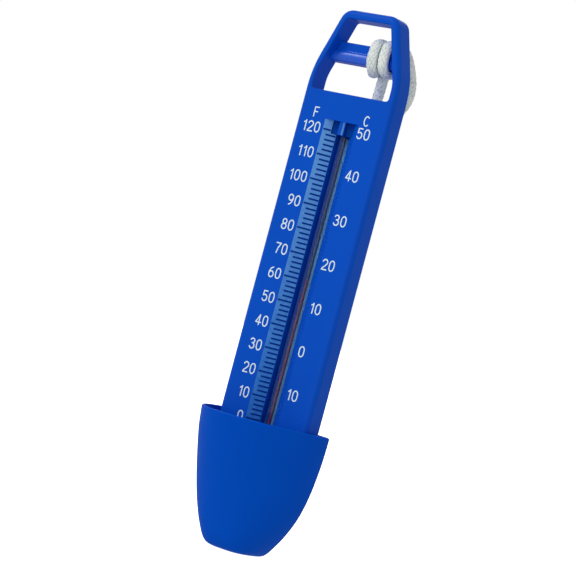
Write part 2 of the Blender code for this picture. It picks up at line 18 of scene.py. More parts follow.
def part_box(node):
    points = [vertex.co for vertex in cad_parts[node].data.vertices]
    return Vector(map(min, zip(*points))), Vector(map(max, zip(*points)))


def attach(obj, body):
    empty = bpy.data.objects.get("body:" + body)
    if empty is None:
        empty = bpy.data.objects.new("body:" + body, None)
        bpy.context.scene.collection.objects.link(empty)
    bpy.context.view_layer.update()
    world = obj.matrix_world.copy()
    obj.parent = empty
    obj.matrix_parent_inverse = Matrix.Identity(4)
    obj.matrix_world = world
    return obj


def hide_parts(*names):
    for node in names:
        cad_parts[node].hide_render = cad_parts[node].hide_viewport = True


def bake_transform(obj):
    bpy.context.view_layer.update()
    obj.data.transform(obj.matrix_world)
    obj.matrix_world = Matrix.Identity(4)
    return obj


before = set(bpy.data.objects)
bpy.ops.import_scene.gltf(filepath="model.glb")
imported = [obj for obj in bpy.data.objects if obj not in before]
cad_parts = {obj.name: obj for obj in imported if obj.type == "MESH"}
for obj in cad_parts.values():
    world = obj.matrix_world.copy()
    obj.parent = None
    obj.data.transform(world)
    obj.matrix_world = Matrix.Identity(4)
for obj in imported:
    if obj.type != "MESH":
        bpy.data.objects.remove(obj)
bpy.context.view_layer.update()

LOG = logging.getLogger("thermometer")
MM = 0.001
FRONT_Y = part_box("front_shell")[0].y
BODY_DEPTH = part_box("front_shell")[1].y - FRONT_Y
SHARP_ANGLE = math.radians(32)
ROUND_ANGLE = math.radians(50)
RIM_START = 0.26
SLIVER = 0.002 * MM

RGB = tuple[float, float, float]
Solid = bmesh.types.BMesh
Material = bpy.types.Material
Piece = bpy.types.Object
Socket = bpy.types.NodeSocket
Outline = list[tuple[Vector, Vector]]
Route = Sequence[tuple[float, float, float]]


class Body(Enum):
    """The bodies of the frame that a piece can ride on."""

    THERMOMETER = "thermometer"
    COLUMN_TOP = "column_top"


class Slot(Enum):
    """The material slots of the part."""

    BODY = "body_plastic"
    COVER = "cover_plastic"
    CUP = "cup_plastic"
    GLASS = "tube_glass"
    SPIRIT = "spirit"
    SCREW = "screw_steel"
    CORD = "cord"
    BAND = "band"


class Cut(Enum):
    """What a tool shape does to the piece it meets."""

    TAKE = "DIFFERENCE"
    JOIN = "UNION"


# ---------------------------------------------------------------- finishes


class NodeSheet:
    """A material's node tree, with short calls for the nodes that the finishes use."""

    def __init__(self, name: str) -> None:
        """Start an empty material with a Principled shader.

        Args:
            name: The material's name.
        """
        self.material = bpy.data.materials.new(name)
        self.material.use_nodes = True
        self.tree = self.material.node_tree
        self.shader = self.tree.nodes["Principled BSDF"]

    def node(self, kind: str, **inputs: object) -> bpy.types.Node:
        """Add a node and set its inputs.

        Args:
            kind: The node's type name, without the leading "ShaderNode".
            inputs: Values or sockets for its inputs, with spaces written as underscores.

        Returns:
            The new node.
        """
        made = self.tree.nodes.new(f"ShaderNode{kind}")
        for key, value in inputs.items():
            self.feed(made, key.replace("_", " "), value)
        return made

    def feed(self, target: bpy.types.Node, key: str | int, value: object) -> None:
        """Set an input to a value, or link a socket to it.

        Args:
            target: The node to feed.
            key: The input's name or number.
            value: A socket, a number, or a tuple.
        """
        if isinstance(value, Socket):
            self.tree.links.new(value, target.inputs[key])
        else:
            target.inputs[key].default_value = value

    def place(self) -> Socket:
        """The point on the piece, in metres."""
        return self.node("TexCoord").outputs["Object"]

    def noise(
        self, scale: float, detail: float = 3.0, at: Socket | None = None
    ) -> Socket:
        """Cloudy noise from 0 to 1.

        Args:
            scale: Cells in a metre.
            detail: How many finer layers it has.
            at: The point it reads, or None for the point on the piece.

        Returns:
            The noise socket.
        """
        made = self.node("TexNoise", Scale=scale, Detail=detail, Vector=at or self.place())
        return made.outputs["Fac"]

    def ramp(
        self, source: Socket, stops: Sequence[tuple[float, Sequence[float]]]
    ) -> Socket:
        """Turn a number into a colour.

        Args:
            source: The number.
            stops: Places from 0 to 1 with the RGB colour at each.

        Returns:
            The colour socket.
        """
        made = self.node("ValToRGB", Fac=source)
        band = made.color_ramp
        while len(band.elements) < len(stops):
            band.elements.new(0.5)
        for element, (place, color) in zip(band.elements, stops):
            element.position = place
            element.color = (*color, 1.0)
        return made.outputs["Color"]

    def span(
        self, source: Socket, low: float, high: float, start: float = 0.3, end: float = 0.7
    ) -> Socket:
        """Map a number from start..end to low..high.

        Args:
            source: The number.
            low: What start becomes.
            high: What end becomes.
            start: The number that becomes low.
            end: The number that becomes high.

        Returns:
            The mapped number.
        """
        made = self.node("MapRange", Value=source)
        for key, value in (("From Min", start), ("From Max", end), ("To Min", low), ("To Max", high)):
            made.inputs[key].default_value = value
        return made.outputs["Result"]

    def mottled(
        self, source: Socket, color: Sequence[float], low: float, high: float
    ) -> Socket:
        """A colour that a number makes darker or lighter.

        Args:
            source: The number, from 0 to 1.
            color: The colour.
            low: How much of it shows where the number is small.
            high: How much of it shows where the number is large.

        Returns:
            The colour socket.
        """
        return self.ramp(source, [(0.3, shaded(color, low)), (0.7, shaded(color, high))])

    def along_z(self, stretch: float, scale: float) -> Socket:
        """Noise drawn out along Z.

        Args:
            stretch: Its scale along Z, against the other two.
            scale: Cells in a metre.

        Returns:
            The noise socket.
        """
        drawn = self.node("Mapping", Vector=self.place())
        drawn.inputs["Scale"].default_value = (1.0, 1.0, stretch)
        return self.noise(scale, 3.0, drawn.outputs["Vector"])

    def maths(self, operation: str, *values: object) -> Socket:
        """A Math node.

        Args:
            operation: Its operation.
            values: Numbers or sockets.

        Returns:
            The result socket.
        """
        made = self.tree.nodes.new("ShaderNodeMath")
        made.operation = operation
        for index, value in enumerate(values):
            self.feed(made, index, value)
        return made.outputs[0]

    def attribute(self, name: str) -> Socket:
        """The number that the mesh keeps under this name."""
        made = self.tree.nodes.new("ShaderNodeAttribute")
        made.attribute_name = name
        return made.outputs["Fac"]

    def bump(self, height: Socket, distance: float, strength: float = 1.0) -> None:
        """Tilt the shader's normal by a height.

        Args:
            height: The height from 0 to 1.
            distance: How high 1 is, in metres.
            strength: How much of it shows.
        """
        shader_normal = self.shader.inputs["Normal"]
        made = self.node("Bump", Height=height, Distance=distance, Strength=strength)
        if shader_normal.is_linked:
            self.feed(made, "Normal", shader_normal.links[0].from_socket)
        self.tree.links.new(made.outputs["Normal"], shader_normal)

    def finish(self, **inputs: object) -> Material:
        """Set the shader's inputs.

        Args:
            inputs: Values or sockets, with spaces written as underscores.

        Returns:
            The finished material.
        """
        for key, value in inputs.items():
            self.feed(self.shader, key.replace("_", " "), value)
        return self.material


def shaded(color: Sequence[float], by: float) -> tuple[float, ...]:
    """The colour made lighter (by over 1) or darker (under 1)."""
    return tuple(min(1.0, part * by) for part in color)


@dataclass(frozen=True)
class MouldedPlastic:
    """Injection-moulded plastic: faint flow marks, a fine skin and a few rubbed places."""

    name: str
    color: RGB
    roughness: float = 0.38
    gloss: float = 0.075
    skin: float = 0.012 * MM
    grain: float = 2600.0

    def build(self) -> Material:
        """Build the material."""
        sheet = NodeSheet(self.name)
        flow = sheet.noise(24.0, 2.0)
        color = sheet.ramp(
            flow, [(0.3, shaded(self.color, 0.955)), (0.55, self.color), (0.75, shaded(self.color, 1.045))]
        )
        rubbed = sheet.noise(150.0, 5.0)
        sheet.bump(sheet.noise(self.grain, 2.0), self.skin, 0.55)
        return sheet.finish(
            Base_Color=color,
            Roughness=sheet.span(rubbed, self.roughness - 0.05, self.roughness + 0.06),
            Specular_IOR_Level=self.gloss,
            IOR=1.49,
        )


@dataclass(frozen=True)
class FrostedScale:
    """The paler, matt skin of the slope behind the graduations: partly its own frosted finish, partly a
    painted sheen that makes it lighter towards the top.
    """

    name: str = "frosted_scale_painted_sheen"
    # top and bottom are the painted sheen's lit and shaded ends.
    top: RGB = (0.13, 0.38, 0.84)
    bottom: RGB = (0.015, 0.19, 0.7)

    def build(self) -> Material:
        """Build the material."""
        sheet = NodeSheet(self.name)
        height = sheet.node("SeparateXYZ", Vector=sheet.place()).outputs["Z"]
        patches = sheet.span(sheet.noise(620.0, 5.0), -0.2, 0.2)
        # Painted sheen: the colour grows lighter with height, where the slope catches more light.
        level = sheet.span(height, 0.0, 1.0, 45 * MM, 150 * MM)
        tone = sheet.ramp(
            sheet.maths("ADD", level, patches), [(0.0, self.bottom), (1.0, self.top)]
        )
        sheet.bump(sheet.noise(3800.0, 3.0), 0.03 * MM, 0.7)
        return sheet.finish(Base_Color=tone, Roughness=0.55, Specular_IOR_Level=0.25)


@dataclass(frozen=True)
class PrintedInk:
    """Thick screen-printed ink with slightly uneven cover."""

    name: str = "white_ink"
    color: RGB = (0.8, 0.96, 1.0)

    def build(self) -> Material:
        """Build the material."""
        sheet = NodeSheet(self.name)
        tone = sheet.ramp(
            sheet.noise(1900.0, 4.0), [(0.25, shaded(self.color, 0.86)), (0.5, self.color)]
        )
        sheet.bump(sheet.noise(5200.0, 2.0), 0.012 * MM, 0.5)
        return sheet.finish(Base_Color=tone, Roughness=0.5, Specular_IOR_Level=0.3)


@dataclass(frozen=True)
class DrawnGlass:
    """Clear drawn glass with faint smears along it."""

    name: str = "drawn_glass"

    def build(self) -> Material:
        """Build the material."""
        sheet = NodeSheet(self.name)
        smears = sheet.along_z(0.08, 900.0)
        tone = sheet.ramp(smears, [(0.3, (0.3, 0.54, 0.76)), (0.7, (0.36, 0.6, 0.82))])
        return sheet.finish(
            Base_Color=tone,
            Roughness=sheet.span(smears, 0.02, 0.06),
            IOR=1.12,
            Transmission_Weight=0.96,
            Coat_Weight=0.4,
            Coat_Roughness=0.06,
            Coat_IOR=1.47,
        )


@dataclass(frozen=True)
class TubeFilling:
    """What shows inside the glass: the empty bore coloured dark as painted shade, the pale enamel or the dyed
    spirit.
    """

    name: str
    color: RGB
    tones: tuple[float, float]
    cloud: tuple[float, float]
    roughness: float
    gloss: float
    grain: float = 0.0

    def build(self) -> Material:
        """Build the material."""
        sheet = NodeSheet(self.name)
        tone = sheet.mottled(sheet.noise(*self.cloud), self.color, *self.tones)
        if self.grain:
            sheet.bump(sheet.noise(self.grain), 0.01 * MM, 0.4)
        return sheet.finish(Base_Color=tone, Roughness=self.roughness, Specular_IOR_Level=self.gloss)


@dataclass(frozen=True)
class ClosedCellFoam:
    """White closed-cell foam with fine cells."""

    name: str = "closed_cell_foam"

    def build(self) -> Material:
        """Build the material."""
        sheet = NodeSheet(self.name)
        cells = sheet.node("TexVoronoi", Scale=1500.0, Vector=sheet.place()).outputs["Distance"]
        tone = sheet.ramp(cells, [(0.0, (0.72, 0.72, 0.69)), (0.4, (0.88, 0.88, 0.86))])
        sheet.bump(cells, 0.12 * MM, 0.8)
        return sheet.finish(Base_Color=tone, Roughness=0.85, Specular_IOR_Level=0.2)


@dataclass(frozen=True)
class PlatedSteel:
    """Steel with drawn scratches and a dull plated skin."""

    name: str
    color: RGB = (0.56, 0.57, 0.58)
    roughness: float = 0.32
    scratch: float = 0.008 * MM

    def build(self) -> Material:
        """Build the material."""
        sheet = NodeSheet(self.name)
        lines = sheet.along_z(0.06, 5200.0)
        blotches = sheet.noise(700.0, 4.0)
        tone = sheet.mottled(blotches, self.color, 0.8, 1.1)
        sheet.bump(lines, self.scratch, 0.7)
        return sheet.finish(
            Base_Color=tone,
            Metallic=1.0,
            Roughness=sheet.span(blotches, self.roughness - 0.07, self.roughness + 0.12),
        )


@dataclass(frozen=True)
class SoftRubber:
    """Matt rubber with a fine ground surface."""

    name: str
    color: RGB
    roughness: float = 0.7
    grain: float = 0.03 * MM

    def build(self) -> Material:
        """Build the material."""
        sheet = NodeSheet(self.name)
        dust = sheet.noise(260.0, 5.0)
        tone = sheet.mottled(dust, self.color, 0.85, 1.15)
        sheet.bump(sheet.noise(3400.0, 3.0), self.grain, 0.6)
        return sheet.finish(
            Base_Color=tone,
            Roughness=sheet.span(dust, self.roughness - 0.1, self.roughness + 0.1),
            Specular_IOR_Level=0.3,
        )


@dataclass(frozen=True)
class BraidedFibre:
    """Off-white braided fibre, coloured by the plaits that the mesh keeps as numbers: painted shade in the
    hollows between plaits, a painted highlight on their crowns.
    """

    name: str
    thread: RGB = (0.9, 0.97, 0.91)
    # hollow is the painted shade between the plaits.
    hollow: RGB = (0.52, 0.64, 0.6)
    threads: float = 9.0

    def build(self) -> Material:
        """Build the material."""
        sheet = NodeSheet(self.name)
        relief = sheet.attribute("plait_height")
        fibres = sheet.maths(
            "SINE", sheet.maths("MULTIPLY", sheet.attribute("plait_across"), self.threads * math.tau)
        )
        soft = sheet.span(fibres, 0.0, 1.0, -1.0, 1.0)
        level = sheet.maths("ADD", relief, sheet.span(sheet.noise(900.0, 4.0), -0.3, 0.3))
        # Painted shade in the low hollows, painted highlight on the high crowns, with random unevenness.
        tone = sheet.ramp(level, [(0.08, self.hollow), (0.5, self.thread), (1.0, shaded(self.thread, 1.1))])
        sheet.bump(soft, 0.05 * MM, 0.45)
        sheet.bump(sheet.noise(7000.0, 2.0), 0.05 * MM, 0.35)
        return sheet.finish(
            Base_Color=tone,
            Roughness=0.82,
            Specular_IOR_Level=0.15,
            Sheen_Weight=0.25,
            Sheen_Roughness=0.5,
            Subsurface_Weight=0.4,
            Subsurface_Radius=(1.0, 1.0, 0.9),
            Subsurface_Scale=1.6 * MM,
        )


@dataclass(frozen=True)
class MeltedFibre:
    """The singed, glassy end of the cord."""

    name: str = "melted_cord_end"

    def build(self) -> Material:
        """Build the material."""
        sheet = NodeSheet(self.name)
        tone = sheet.ramp(
            sheet.noise(1400.0, 4.0), [(0.3, (0.33, 0.27, 0.16)), (0.7, (0.62, 0.6, 0.47))]
        )
        sheet.bump(sheet.noise(2000.0, 3.0), 0.1 * MM, 0.6)
        return sheet.finish(Base_Color=tone, Roughness=0.35)


@dataclass(frozen=True)
class StudioWhite:
    """The evenly lit white of the studio's floor and backdrop."""

    name: str = "studio_white"
    light: float = 1.0

    def build(self) -> Material:
        """Build the material."""
        sheet = NodeSheet(self.name)
        tone = sheet.ramp(sheet.noise(3.0), [(0.0, (0.9, 0.9, 0.9)), (1.0, (0.95, 0.95, 0.95))])
        return sheet.finish(
            Base_Color=tone,
            Roughness=0.9,
            Emission_Color=(1.0, 1.0, 1.0, 1.0),
            Emission_Strength=self.light,
        )


BLUE = (0.0004, 0.088, 0.62)


class Finishes:
    """Every finish, built once."""

    def __init__(self) -> None:
        """Build the materials."""
        self.body = MouldedPlastic("blue_body_plastic", BLUE).build()
        # The slope's frosted finish, lightened towards the top as a painted sheen.
        self.scale = FrostedScale().build()
        # Body blue darkened as painted shade, for the Fahrenheit lines and for the lug's pocket.
        self.marks = MouldedPlastic("blue_painted_shade_plastic", shaded(BLUE, 0.52), 0.5, 0.04).build()
        # The bar's bead: really glossier, with its blue lightened as a painted highlight.
        self.bead = MouldedPlastic("polished_bar_painted_highlight", shaded(BLUE, 1.15), 0.3, 0.75).build()
        self.cup = MouldedPlastic("blue_cup_plastic", BLUE, 0.44, 0.02, 0.02 * MM, 1800.0).build()
        self.cover = MouldedPlastic("blue_cover_plastic", shaded(BLUE, 0.96), 0.42).build()
        self.ink = PrintedInk().build()
        self.glass = DrawnGlass().build()
        self.enamel = TubeFilling(
            "tube_enamel", (0.5, 0.75, 1.0), (0.88, 1.08), (420.0, 4.0), 0.35, 0.4, 2400.0
        ).build()
        # The empty bore is coloured near black as painted shade, where the clear bore only looks dark.
        self.bore = TubeFilling(
            "tube_bore_painted_shade", (0.01, 0.03, 0.07), (0.8, 1.3), (700.0, 3.0), 0.12, 1.0
        ).build()
        self.spirit = TubeFilling(
            "dyed_spirit", (0.5, 0.035, 0.07), (0.7, 1.1), (300.0, 3.0), 0.08, 0.5
        ).build()
        self.foam = ClosedCellFoam().build()
        self.ballast = PlatedSteel("ballast_steel", (0.4, 0.4, 0.41), 0.45, 0.02 * MM).build()
        self.screw = PlatedSteel("screw_steel").build()
        self.rubber = SoftRubber("black_rubber", (0.03, 0.03, 0.032)).build()
        self.cord = BraidedFibre("braided_cord").build()
        self.melted = MeltedFibre().build()
        self.band = SoftRubber("natural_rubber_band", (0.62, 0.45, 0.24), 0.55).build()


# ---------------------------------------------------------------- mesh tools


def body_y(depth: float) -> float:
    """The Y of a depth behind the body's front face."""
    return FRONT_Y + depth


def rounded_outline(corners: Sequence[tuple[float, float, float]], steps: int = 8) -> Outline:
    """Round the corners of a convex outline.

    Args:
        corners: (u, v, radius) of each corner, anticlockwise.
        steps: Facets of each round corner.

    Returns:
        The points, each with the direction that faces out of the outline there.
    """
    points: Outline = []
    count = len(corners)
    for i in range(count):
        before, here, after = (Vector(corners[(i + k) % count][:2]) for k in (-1, 0, 1))
        into, out = (here - before).normalized(), (after - here).normalized()
        first, last = Vector((into.y, -into.x)), Vector((out.y, -out.x))
        radius = corners[i][2]
        middle = (first + last).normalized()
        centre = here - middle * (radius / middle.dot(first))
        turn = first.angle_signed(last)
        for step in range(steps + 1):
            angle = math.atan2(first.y, first.x) - turn * step / steps
            facing = Vector((math.cos(angle), math.sin(angle)))
            points.append((centre + facing * radius, facing))
    return points


def mirrored(
    right_side: Sequence[tuple[float, float, float]],
) -> list[tuple[float, float, float]]:
    """Corners of the right side, from bottom to top, made into a whole outline."""
    return [*right_side, *((-u, v, radius) for u, v, radius in reversed(right_side))]


def rim(radius: float, steps: int = 6, first: float = 0.0) -> list[tuple[float, float]]:
    """A quarter round: (depth, inset) from the face to the wall.

    Args:
        radius: Its radius.
        steps: Its facets.
        first: Where on the quarter it starts, in radians.

    Returns:
        The profile's points.
    """
    angles = [first + (math.pi / 2 - first) * step / steps for step in range(steps + 1)]
    return [(radius * (1 - math.cos(a)), radius * (1 - math.sin(a))) for a in angles]


def solid_profile(depth: float, front: float, back: float, start: float = 0.0) -> list[tuple[float, float]]:
    """The (depth, inset) profile of a plate with rounded edges.

    Args:
        depth: Where its back face is.
        front: Radius of its front edge.
        back: Radius of its back edge.
        start: Where its front face is.

    Returns:
        The profile's points, front to back.
    """
    near = [(start + d, inset) for d, inset in rim(front)]
    far = [(depth - d, inset) for d, inset in reversed(rim(back))]
    return near + far


def hole_profile(start: float, end: float, edge: float) -> list[tuple[float, float]]:
    """The profile of a tool that cuts a hole with rounded rims through a plate.

    Args:
        start: Depth of the plate's front face.
        end: Depth of its back face.
        edge: Radius of the rims.

    Returns:
        The profile's points, front to back.
    """
    lip = rim(edge, 5, RIM_START)
    near = [(start - MM, -edge), *((start + d, -inset) for d, inset in lip)]
    far = [*((end - d, -inset) for d, inset in reversed(lip)), (end + MM, -edge)]
    return near + far


def bridged(bm: Solid, rings: Sequence[Sequence[bmesh.types.BMVert]]) -> None:
    """Join rings of equally many corners with quads, each to the next."""
    for low, high in zip(rings, rings[1:]):
        for i in range(len(low)):
            after = (i + 1) % len(low)
            bm.faces.new((low[i], low[after], high[after], high[i]))


def skin(bm: Solid, loops: Sequence[Sequence[Vector]], endless: bool = False) -> None:
    """Join loops of points into a closed skin.

    Args:
        bm: The mesh they go into.
        loops: Closed loops with equally many points.
        endless: Whether the last joins the first, in place of a face on each.
    """
    rings = [[bm.verts.new(point) for point in loop] for loop in loops]
    bridged(bm, [*rings, rings[0]] if endless else rings)
    if not endless:
        bm.faces.new(rings[0])
        bm.faces.new(rings[-1])


def plate(outline: Outline, profile: Iterable[tuple[float, float]]) -> Solid:
    """A solid with this outline in X and Z.

    Args:
        outline: Its outline.
        profile: (depth, inset) from front to back.

    Returns:
        The mesh.
    """
    bm = bmesh.new()
    loops = [
        [Vector((p.x - n.x * inset, body_y(depth), p.y - n.y * inset)) for p, n in outline]
        for depth, inset in profile
    ]
    skin(bm, loops)
    return bm


def turned(profile: Sequence[tuple[float, float]], segments: int = 32) -> Solid:
    """A solid turned about Z.

    Args:
        profile: (radius, height) points. A radius of 0 closes an end.
        segments: Facets round it.

    Returns:
        The mesh.
    """
    bm = bmesh.new()
    rings = []
    for radius, height in profile:
        if radius == 0:
            rings.append([bm.verts.new((0, 0, height))])
            continue
        angles = [math.tau * i / segments for i in range(segments)]
        rings.append(
            [bm.verts.new((radius * math.cos(a), radius * math.sin(a), height)) for a in angles]
        )
    for low, high in zip(rings, rings[1:]):
        for i in range(segments):
            corners = [low[i % len(low)], low[(i + 1) % len(low)]]
            corners += [high[(i + 1) % len(high)], high[i % len(high)]]
            bm.faces.new(dict.fromkeys(corners))
    for ring in (rings[0], rings[-1]):
        if len(ring) > 1:
            bm.faces.new(ring)
    return bm


def box_mesh(low: Sequence[float], high: Sequence[float]) -> Solid:
    """A block between two corners, for a tool shape.

    Args:
        low: Its low corner.
        high: Its high corner.

    Returns:
        The mesh.
    """
    bm = bmesh.new()
    bmesh.ops.create_cube(bm, size=1)
    size = Vector(high) - Vector(low)
    bmesh.ops.scale(bm, verts=bm.verts, vec=size)
    bmesh.ops.translate(bm, verts=bm.verts, vec=Vector(low) + size / 2)
    return bm


def moved(bm: Solid, matrix: Matrix) -> Solid:
    """The mesh after a move or turn."""
    bmesh.ops.transform(bm, matrix=matrix, verts=bm.verts)
    return bm


def gathered(parts: Iterable[Solid]) -> Solid:
    """Several separate meshes as one.

    Args:
        parts: The meshes, which are freed.

    Returns:
        The whole.
    """
    whole = bmesh.new()
    for part in parts:
        mesh = bpy.data.meshes.new("part")
        part.to_mesh(mesh)
        part.free()
        whole.from_mesh(mesh)
        bpy.data.meshes.remove(mesh)
    return whole


def along_depth(bm: Solid, x: float, z: float) -> Solid:
    """A mesh turned about Z, laid down so that its height is depth at this X and Z."""
    lay = Matrix.Rotation(-math.pi / 2, 4, "X")
    return moved(bm, Matrix.Translation((x, body_y(0), z)) @ lay)


def new_object(
    name: str, bm: Solid, finish: Material | None = None
) -> Piece:
    """Put a mesh into the scene with its faces turned outwards.

    Args:
        name: The object's name.
        bm: The mesh, which is freed.
        finish: Its material.

    Returns:
        The object.
    """
    bmesh.ops.recalc_face_normals(bm, faces=bm.faces)
    mesh = bpy.data.meshes.new(name)
    bm.to_mesh(mesh)
    bm.free()
    obj = bpy.data.objects.new(name, mesh)
    bpy.context.collection.objects.link(obj)
    if finish:
        mesh.materials.append(finish)
    return obj


def cut(obj: Piece, how: Cut, shape: Solid) -> None:
    """Take a shape from an object, or join it on.

    Args:
        obj: The object, whose mesh changes.
        how: What to do.
        shape: The tool's mesh.
    """
    tool = new_object("tool", shape)
    modifier = obj.modifiers.new("cut", "BOOLEAN")
    modifier.operation = how.value
    modifier.object = tool
    modifier.solver = "EXACT"
    settle(obj)
    old = tool.data
    bpy.data.objects.remove(tool, do_unlink=True)
    bpy.data.meshes.remove(old)


def settle(obj: Piece) -> None:
    """Apply the object's modifiers to its mesh.

    Args:
        obj: The object.
    """
    bpy.context.view_layer.update()
    graph = bpy.context.evaluated_depsgraph_get()
    made = bpy.data.meshes.new_from_object(obj.evaluated_get(graph))
    obj.modifiers.clear()
    old = obj.data
    obj.data = made
    made.name = obj.name
    bpy.data.meshes.remove(old)


def smooth(obj: Piece, angle: float = SHARP_ANGLE, weighted: bool = True) -> None:
    """Shade an object smooth, with its real edges kept.

    Args:
        obj: The object.
        angle: The least angle of a real edge.
        weighted: Whether large flat faces keep their own direction.
    """
    obj.data.shade_smooth()
    obj.data.set_sharp_from_angle(angle=angle)
    if weighted:
        modifier = obj.modifiers.new("flat_faces", "WEIGHTED_NORMAL")
        modifier.keep_sharp = True
        modifier.weight = 90


def tidied(obj: Piece) -> None:
    """Drop the slivers and doubled points that cutting leaves.

    Args:
        obj: The object.
    """
    bm = bmesh.new()
    bm.from_mesh(obj.data)
    bmesh.ops.remove_doubles(bm, verts=bm.verts, dist=SLIVER)
    bmesh.ops.dissolve_degenerate(bm, edges=bm.edges, dist=SLIVER)
    bm.to_mesh(obj.data)
    bm.free()


def install(
    obj: Piece, slot: Slot, *nodes: str, body: Body = Body.THERMOMETER
) -> Piece:
    """Make an object a piece of the part.

    Args:
        obj: The object.
        slot: The slot its finish belongs to; not used.
        nodes: The CAD nodes it stands for.
        body: The body it rides on.

    Returns:
        The object.
    """
    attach(obj, body.value)
    if nodes:
        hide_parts(*nodes)
    LOG.info("%s: %d faces", obj.name, len(obj.data.polygons))
    return obj


# ---------------------------------------------------------------- body


@dataclass
class FrontShell:
    """The moulding with the scale, the handle, the trough and the screw bosses."""

    half: float = 19.6 * MM
    height: float = 200 * MM
    front_rounding: float = 2.1 * MM
    back_rounding: float = 0.45 * MM
    foot_half: float = 12.5 * MM
    foot_z: float = 9 * MM
    foot_shoulder_z: float = 22 * MM
    shoulder_z: float = 176.4 * MM
    top_half: float = 11.6 * MM
    rail: float = 2.8 * MM
    top_rail: float = 3.4 * MM
    window_bottom: float = 169.2 * MM
    window_top_half: float = 9.6 * MM
    rim_radius: float = 0.45 * MM
    bar_bottom: float = 181.0 * MM
    bar_top: float = 188.6 * MM
    bar_root: float = 1.2 * MM
    trough_half: float = 7.15 * MM
    trough_bottom: float = 15 * MM
    trough_top: float = 159.1 * MM
    channel_half: float = 2.9 * MM
    channel_top: float = 160.8 * MM
    slope_depth: float = 3.5 * MM
    lug_half: float = 1.35 * MM
    lug_bottom: float = 154.3 * MM
    lug_back: float = 2.9 * MM
    web_half: float = 4.7 * MM
    web_front: float = 2.5 * MM
    web_back: float = 3.1 * MM
    cover_front: float = 7.2 * MM
    recess_front: float = 7.0 * MM
    front_wall: float = 1.6 * MM
    chamber_inner: float = 8.6 * MM
    chamber_outer: float = 17.25 * MM
    boss_x: float = 12.6 * MM
    boss_radius: float = 2.3 * MM
    boss_zs: tuple[float, ...] = (162 * MM, 100 * MM, 36 * MM)

    def build(self, finishes: Finishes) -> Piece:
        """Build the shell.

        Args:
            finishes: The finishes.

        Returns:
            The piece.
        """
        profile = solid_profile(BODY_DEPTH, self.front_rounding, self.back_rounding)
        shell = new_object("body_shell", plate(self.outline(), profile), finishes.body)
        cut(shell, Cut.TAKE, plate(self.window(), hole_profile(0, BODY_DEPTH, self.rim_radius)))
        cut(shell, Cut.JOIN, self.bar())
        cut(shell, Cut.TAKE, self.trough())
        cut(shell, Cut.TAKE, self.tube_slot())
        cut(shell, Cut.TAKE, self.across_lug(-1 * MM, self.web_front, 0))
        cut(shell, Cut.JOIN, self.across_lug(self.web_front, self.web_back, 0.2 * MM))
        cut(shell, Cut.JOIN, self.lug())
        cut(shell, Cut.TAKE, self.recess())
        cut(shell, Cut.TAKE, gathered(self.chamber(side) for side in (-1, 1)))
        cut(shell, Cut.JOIN, gathered(self.boss(x, z) for x, z in self.boss_places()))
        cut(shell, Cut.TAKE, gathered(self.boss_hole(x, z) for x, z in self.boss_places()))
        tidied(shell)
        self.frost_slopes(shell, finishes)
        smooth(shell)
        return install(shell, Slot.BODY, "front_shell")

    def outline(self) -> Outline:
        """The body's outline, seen from the front."""
        side = [
            (self.foot_half, self.foot_z, 2 * MM),
            (self.half, self.foot_shoulder_z, 6 * MM),
            (self.half, self.shoulder_z, 40 * MM),
            (self.top_half, self.height, 5 * MM),
        ]
        return rounded_outline(mirrored(side), 10)

    def window(self) -> Outline:
        """The outline of the handle's opening."""
        side = [
            (self.half - self.rail, self.window_bottom, 1.2 * MM),
            (self.half - self.rail, self.shoulder_z - 1 * MM, 14 * MM),
            (self.window_top_half, self.height - self.top_rail, 1.5 * MM),
        ]
        return rounded_outline(mirrored(side), 8)

    def bar(self) -> Solid:
        """The cross bar: a flat upper half, and a rounded bead along its lower half."""
        middle, reach_z = self.bar_bottom + 2.15 * MM, 2.1 * MM
        section = [(BODY_DEPTH - 0.35 * MM, self.bar_bottom)]
        section += [(BODY_DEPTH, self.bar_bottom + 0.35 * MM), (BODY_DEPTH, self.bar_top - 0.35 * MM)]
        section += [(BODY_DEPTH - 0.35 * MM, self.bar_top), (5.3 * MM, self.bar_top)]
        section += [(4.95 * MM, self.bar_top - 0.12 * MM), (4.8 * MM, self.bar_top - 0.5 * MM)]
        section += [(4.8 * MM, middle + reach_z + 0.15 * MM)]
        for step in range(13):
            angle = math.radians(80 - 160 * step / 12)
            depth = 5.05 * MM - 1.3 * MM * math.cos(angle) ** 0.8
            section.append((depth, middle + reach_z * math.sin(angle)))
        leg = self.half - self.rail
        slant = (leg - self.window_top_half) / (self.height - self.top_rail - self.shoulder_z)
        ends = [leg + self.bar_root - slant * (z - self.shoulder_z) for _, z in section]
        bm = bmesh.new()
        skin(
            bm,
            [
                [Vector((side * x, body_y(d), z)) for x, (d, z) in zip(ends, section)]
                for side in (-1, 1)
            ],
        )
        return bm

    def upright(self, section: Sequence[tuple[float, float]], low: float, high: float) -> Solid:
        """A tool with this section in X and depth.

        Args:
            section: (x, depth) points.
            low: Its lower Z.
            high: Its upper Z.

        Returns:
            The mesh.
        """
        bm = bmesh.new()
        skin(bm, [[Vector((x, body_y(d), z)) for x, d in section] for z in (low, high)])
        return bm

    def trough(self) -> Solid:
        """The two slopes and the channel between them, with softened front edges."""
        side = [
            (self.trough_half + 0.9 * MM, -0.6 * MM),
            (self.trough_half + 0.32 * MM, -0.02 * MM),
            (self.trough_half + 0.05 * MM, 0.1 * MM),
            (self.trough_half - 0.2 * MM, 0.26 * MM),
            (self.channel_half + 0.12 * MM, self.slope_depth - 0.08 * MM),
            (self.channel_half, self.slope_depth + 0.12 * MM),
            (self.channel_half, self.cover_front),
        ]
        section = [*side, *((-x, d) for x, d in reversed(side))]
        return self.upright(section, self.trough_bottom, self.trough_top)

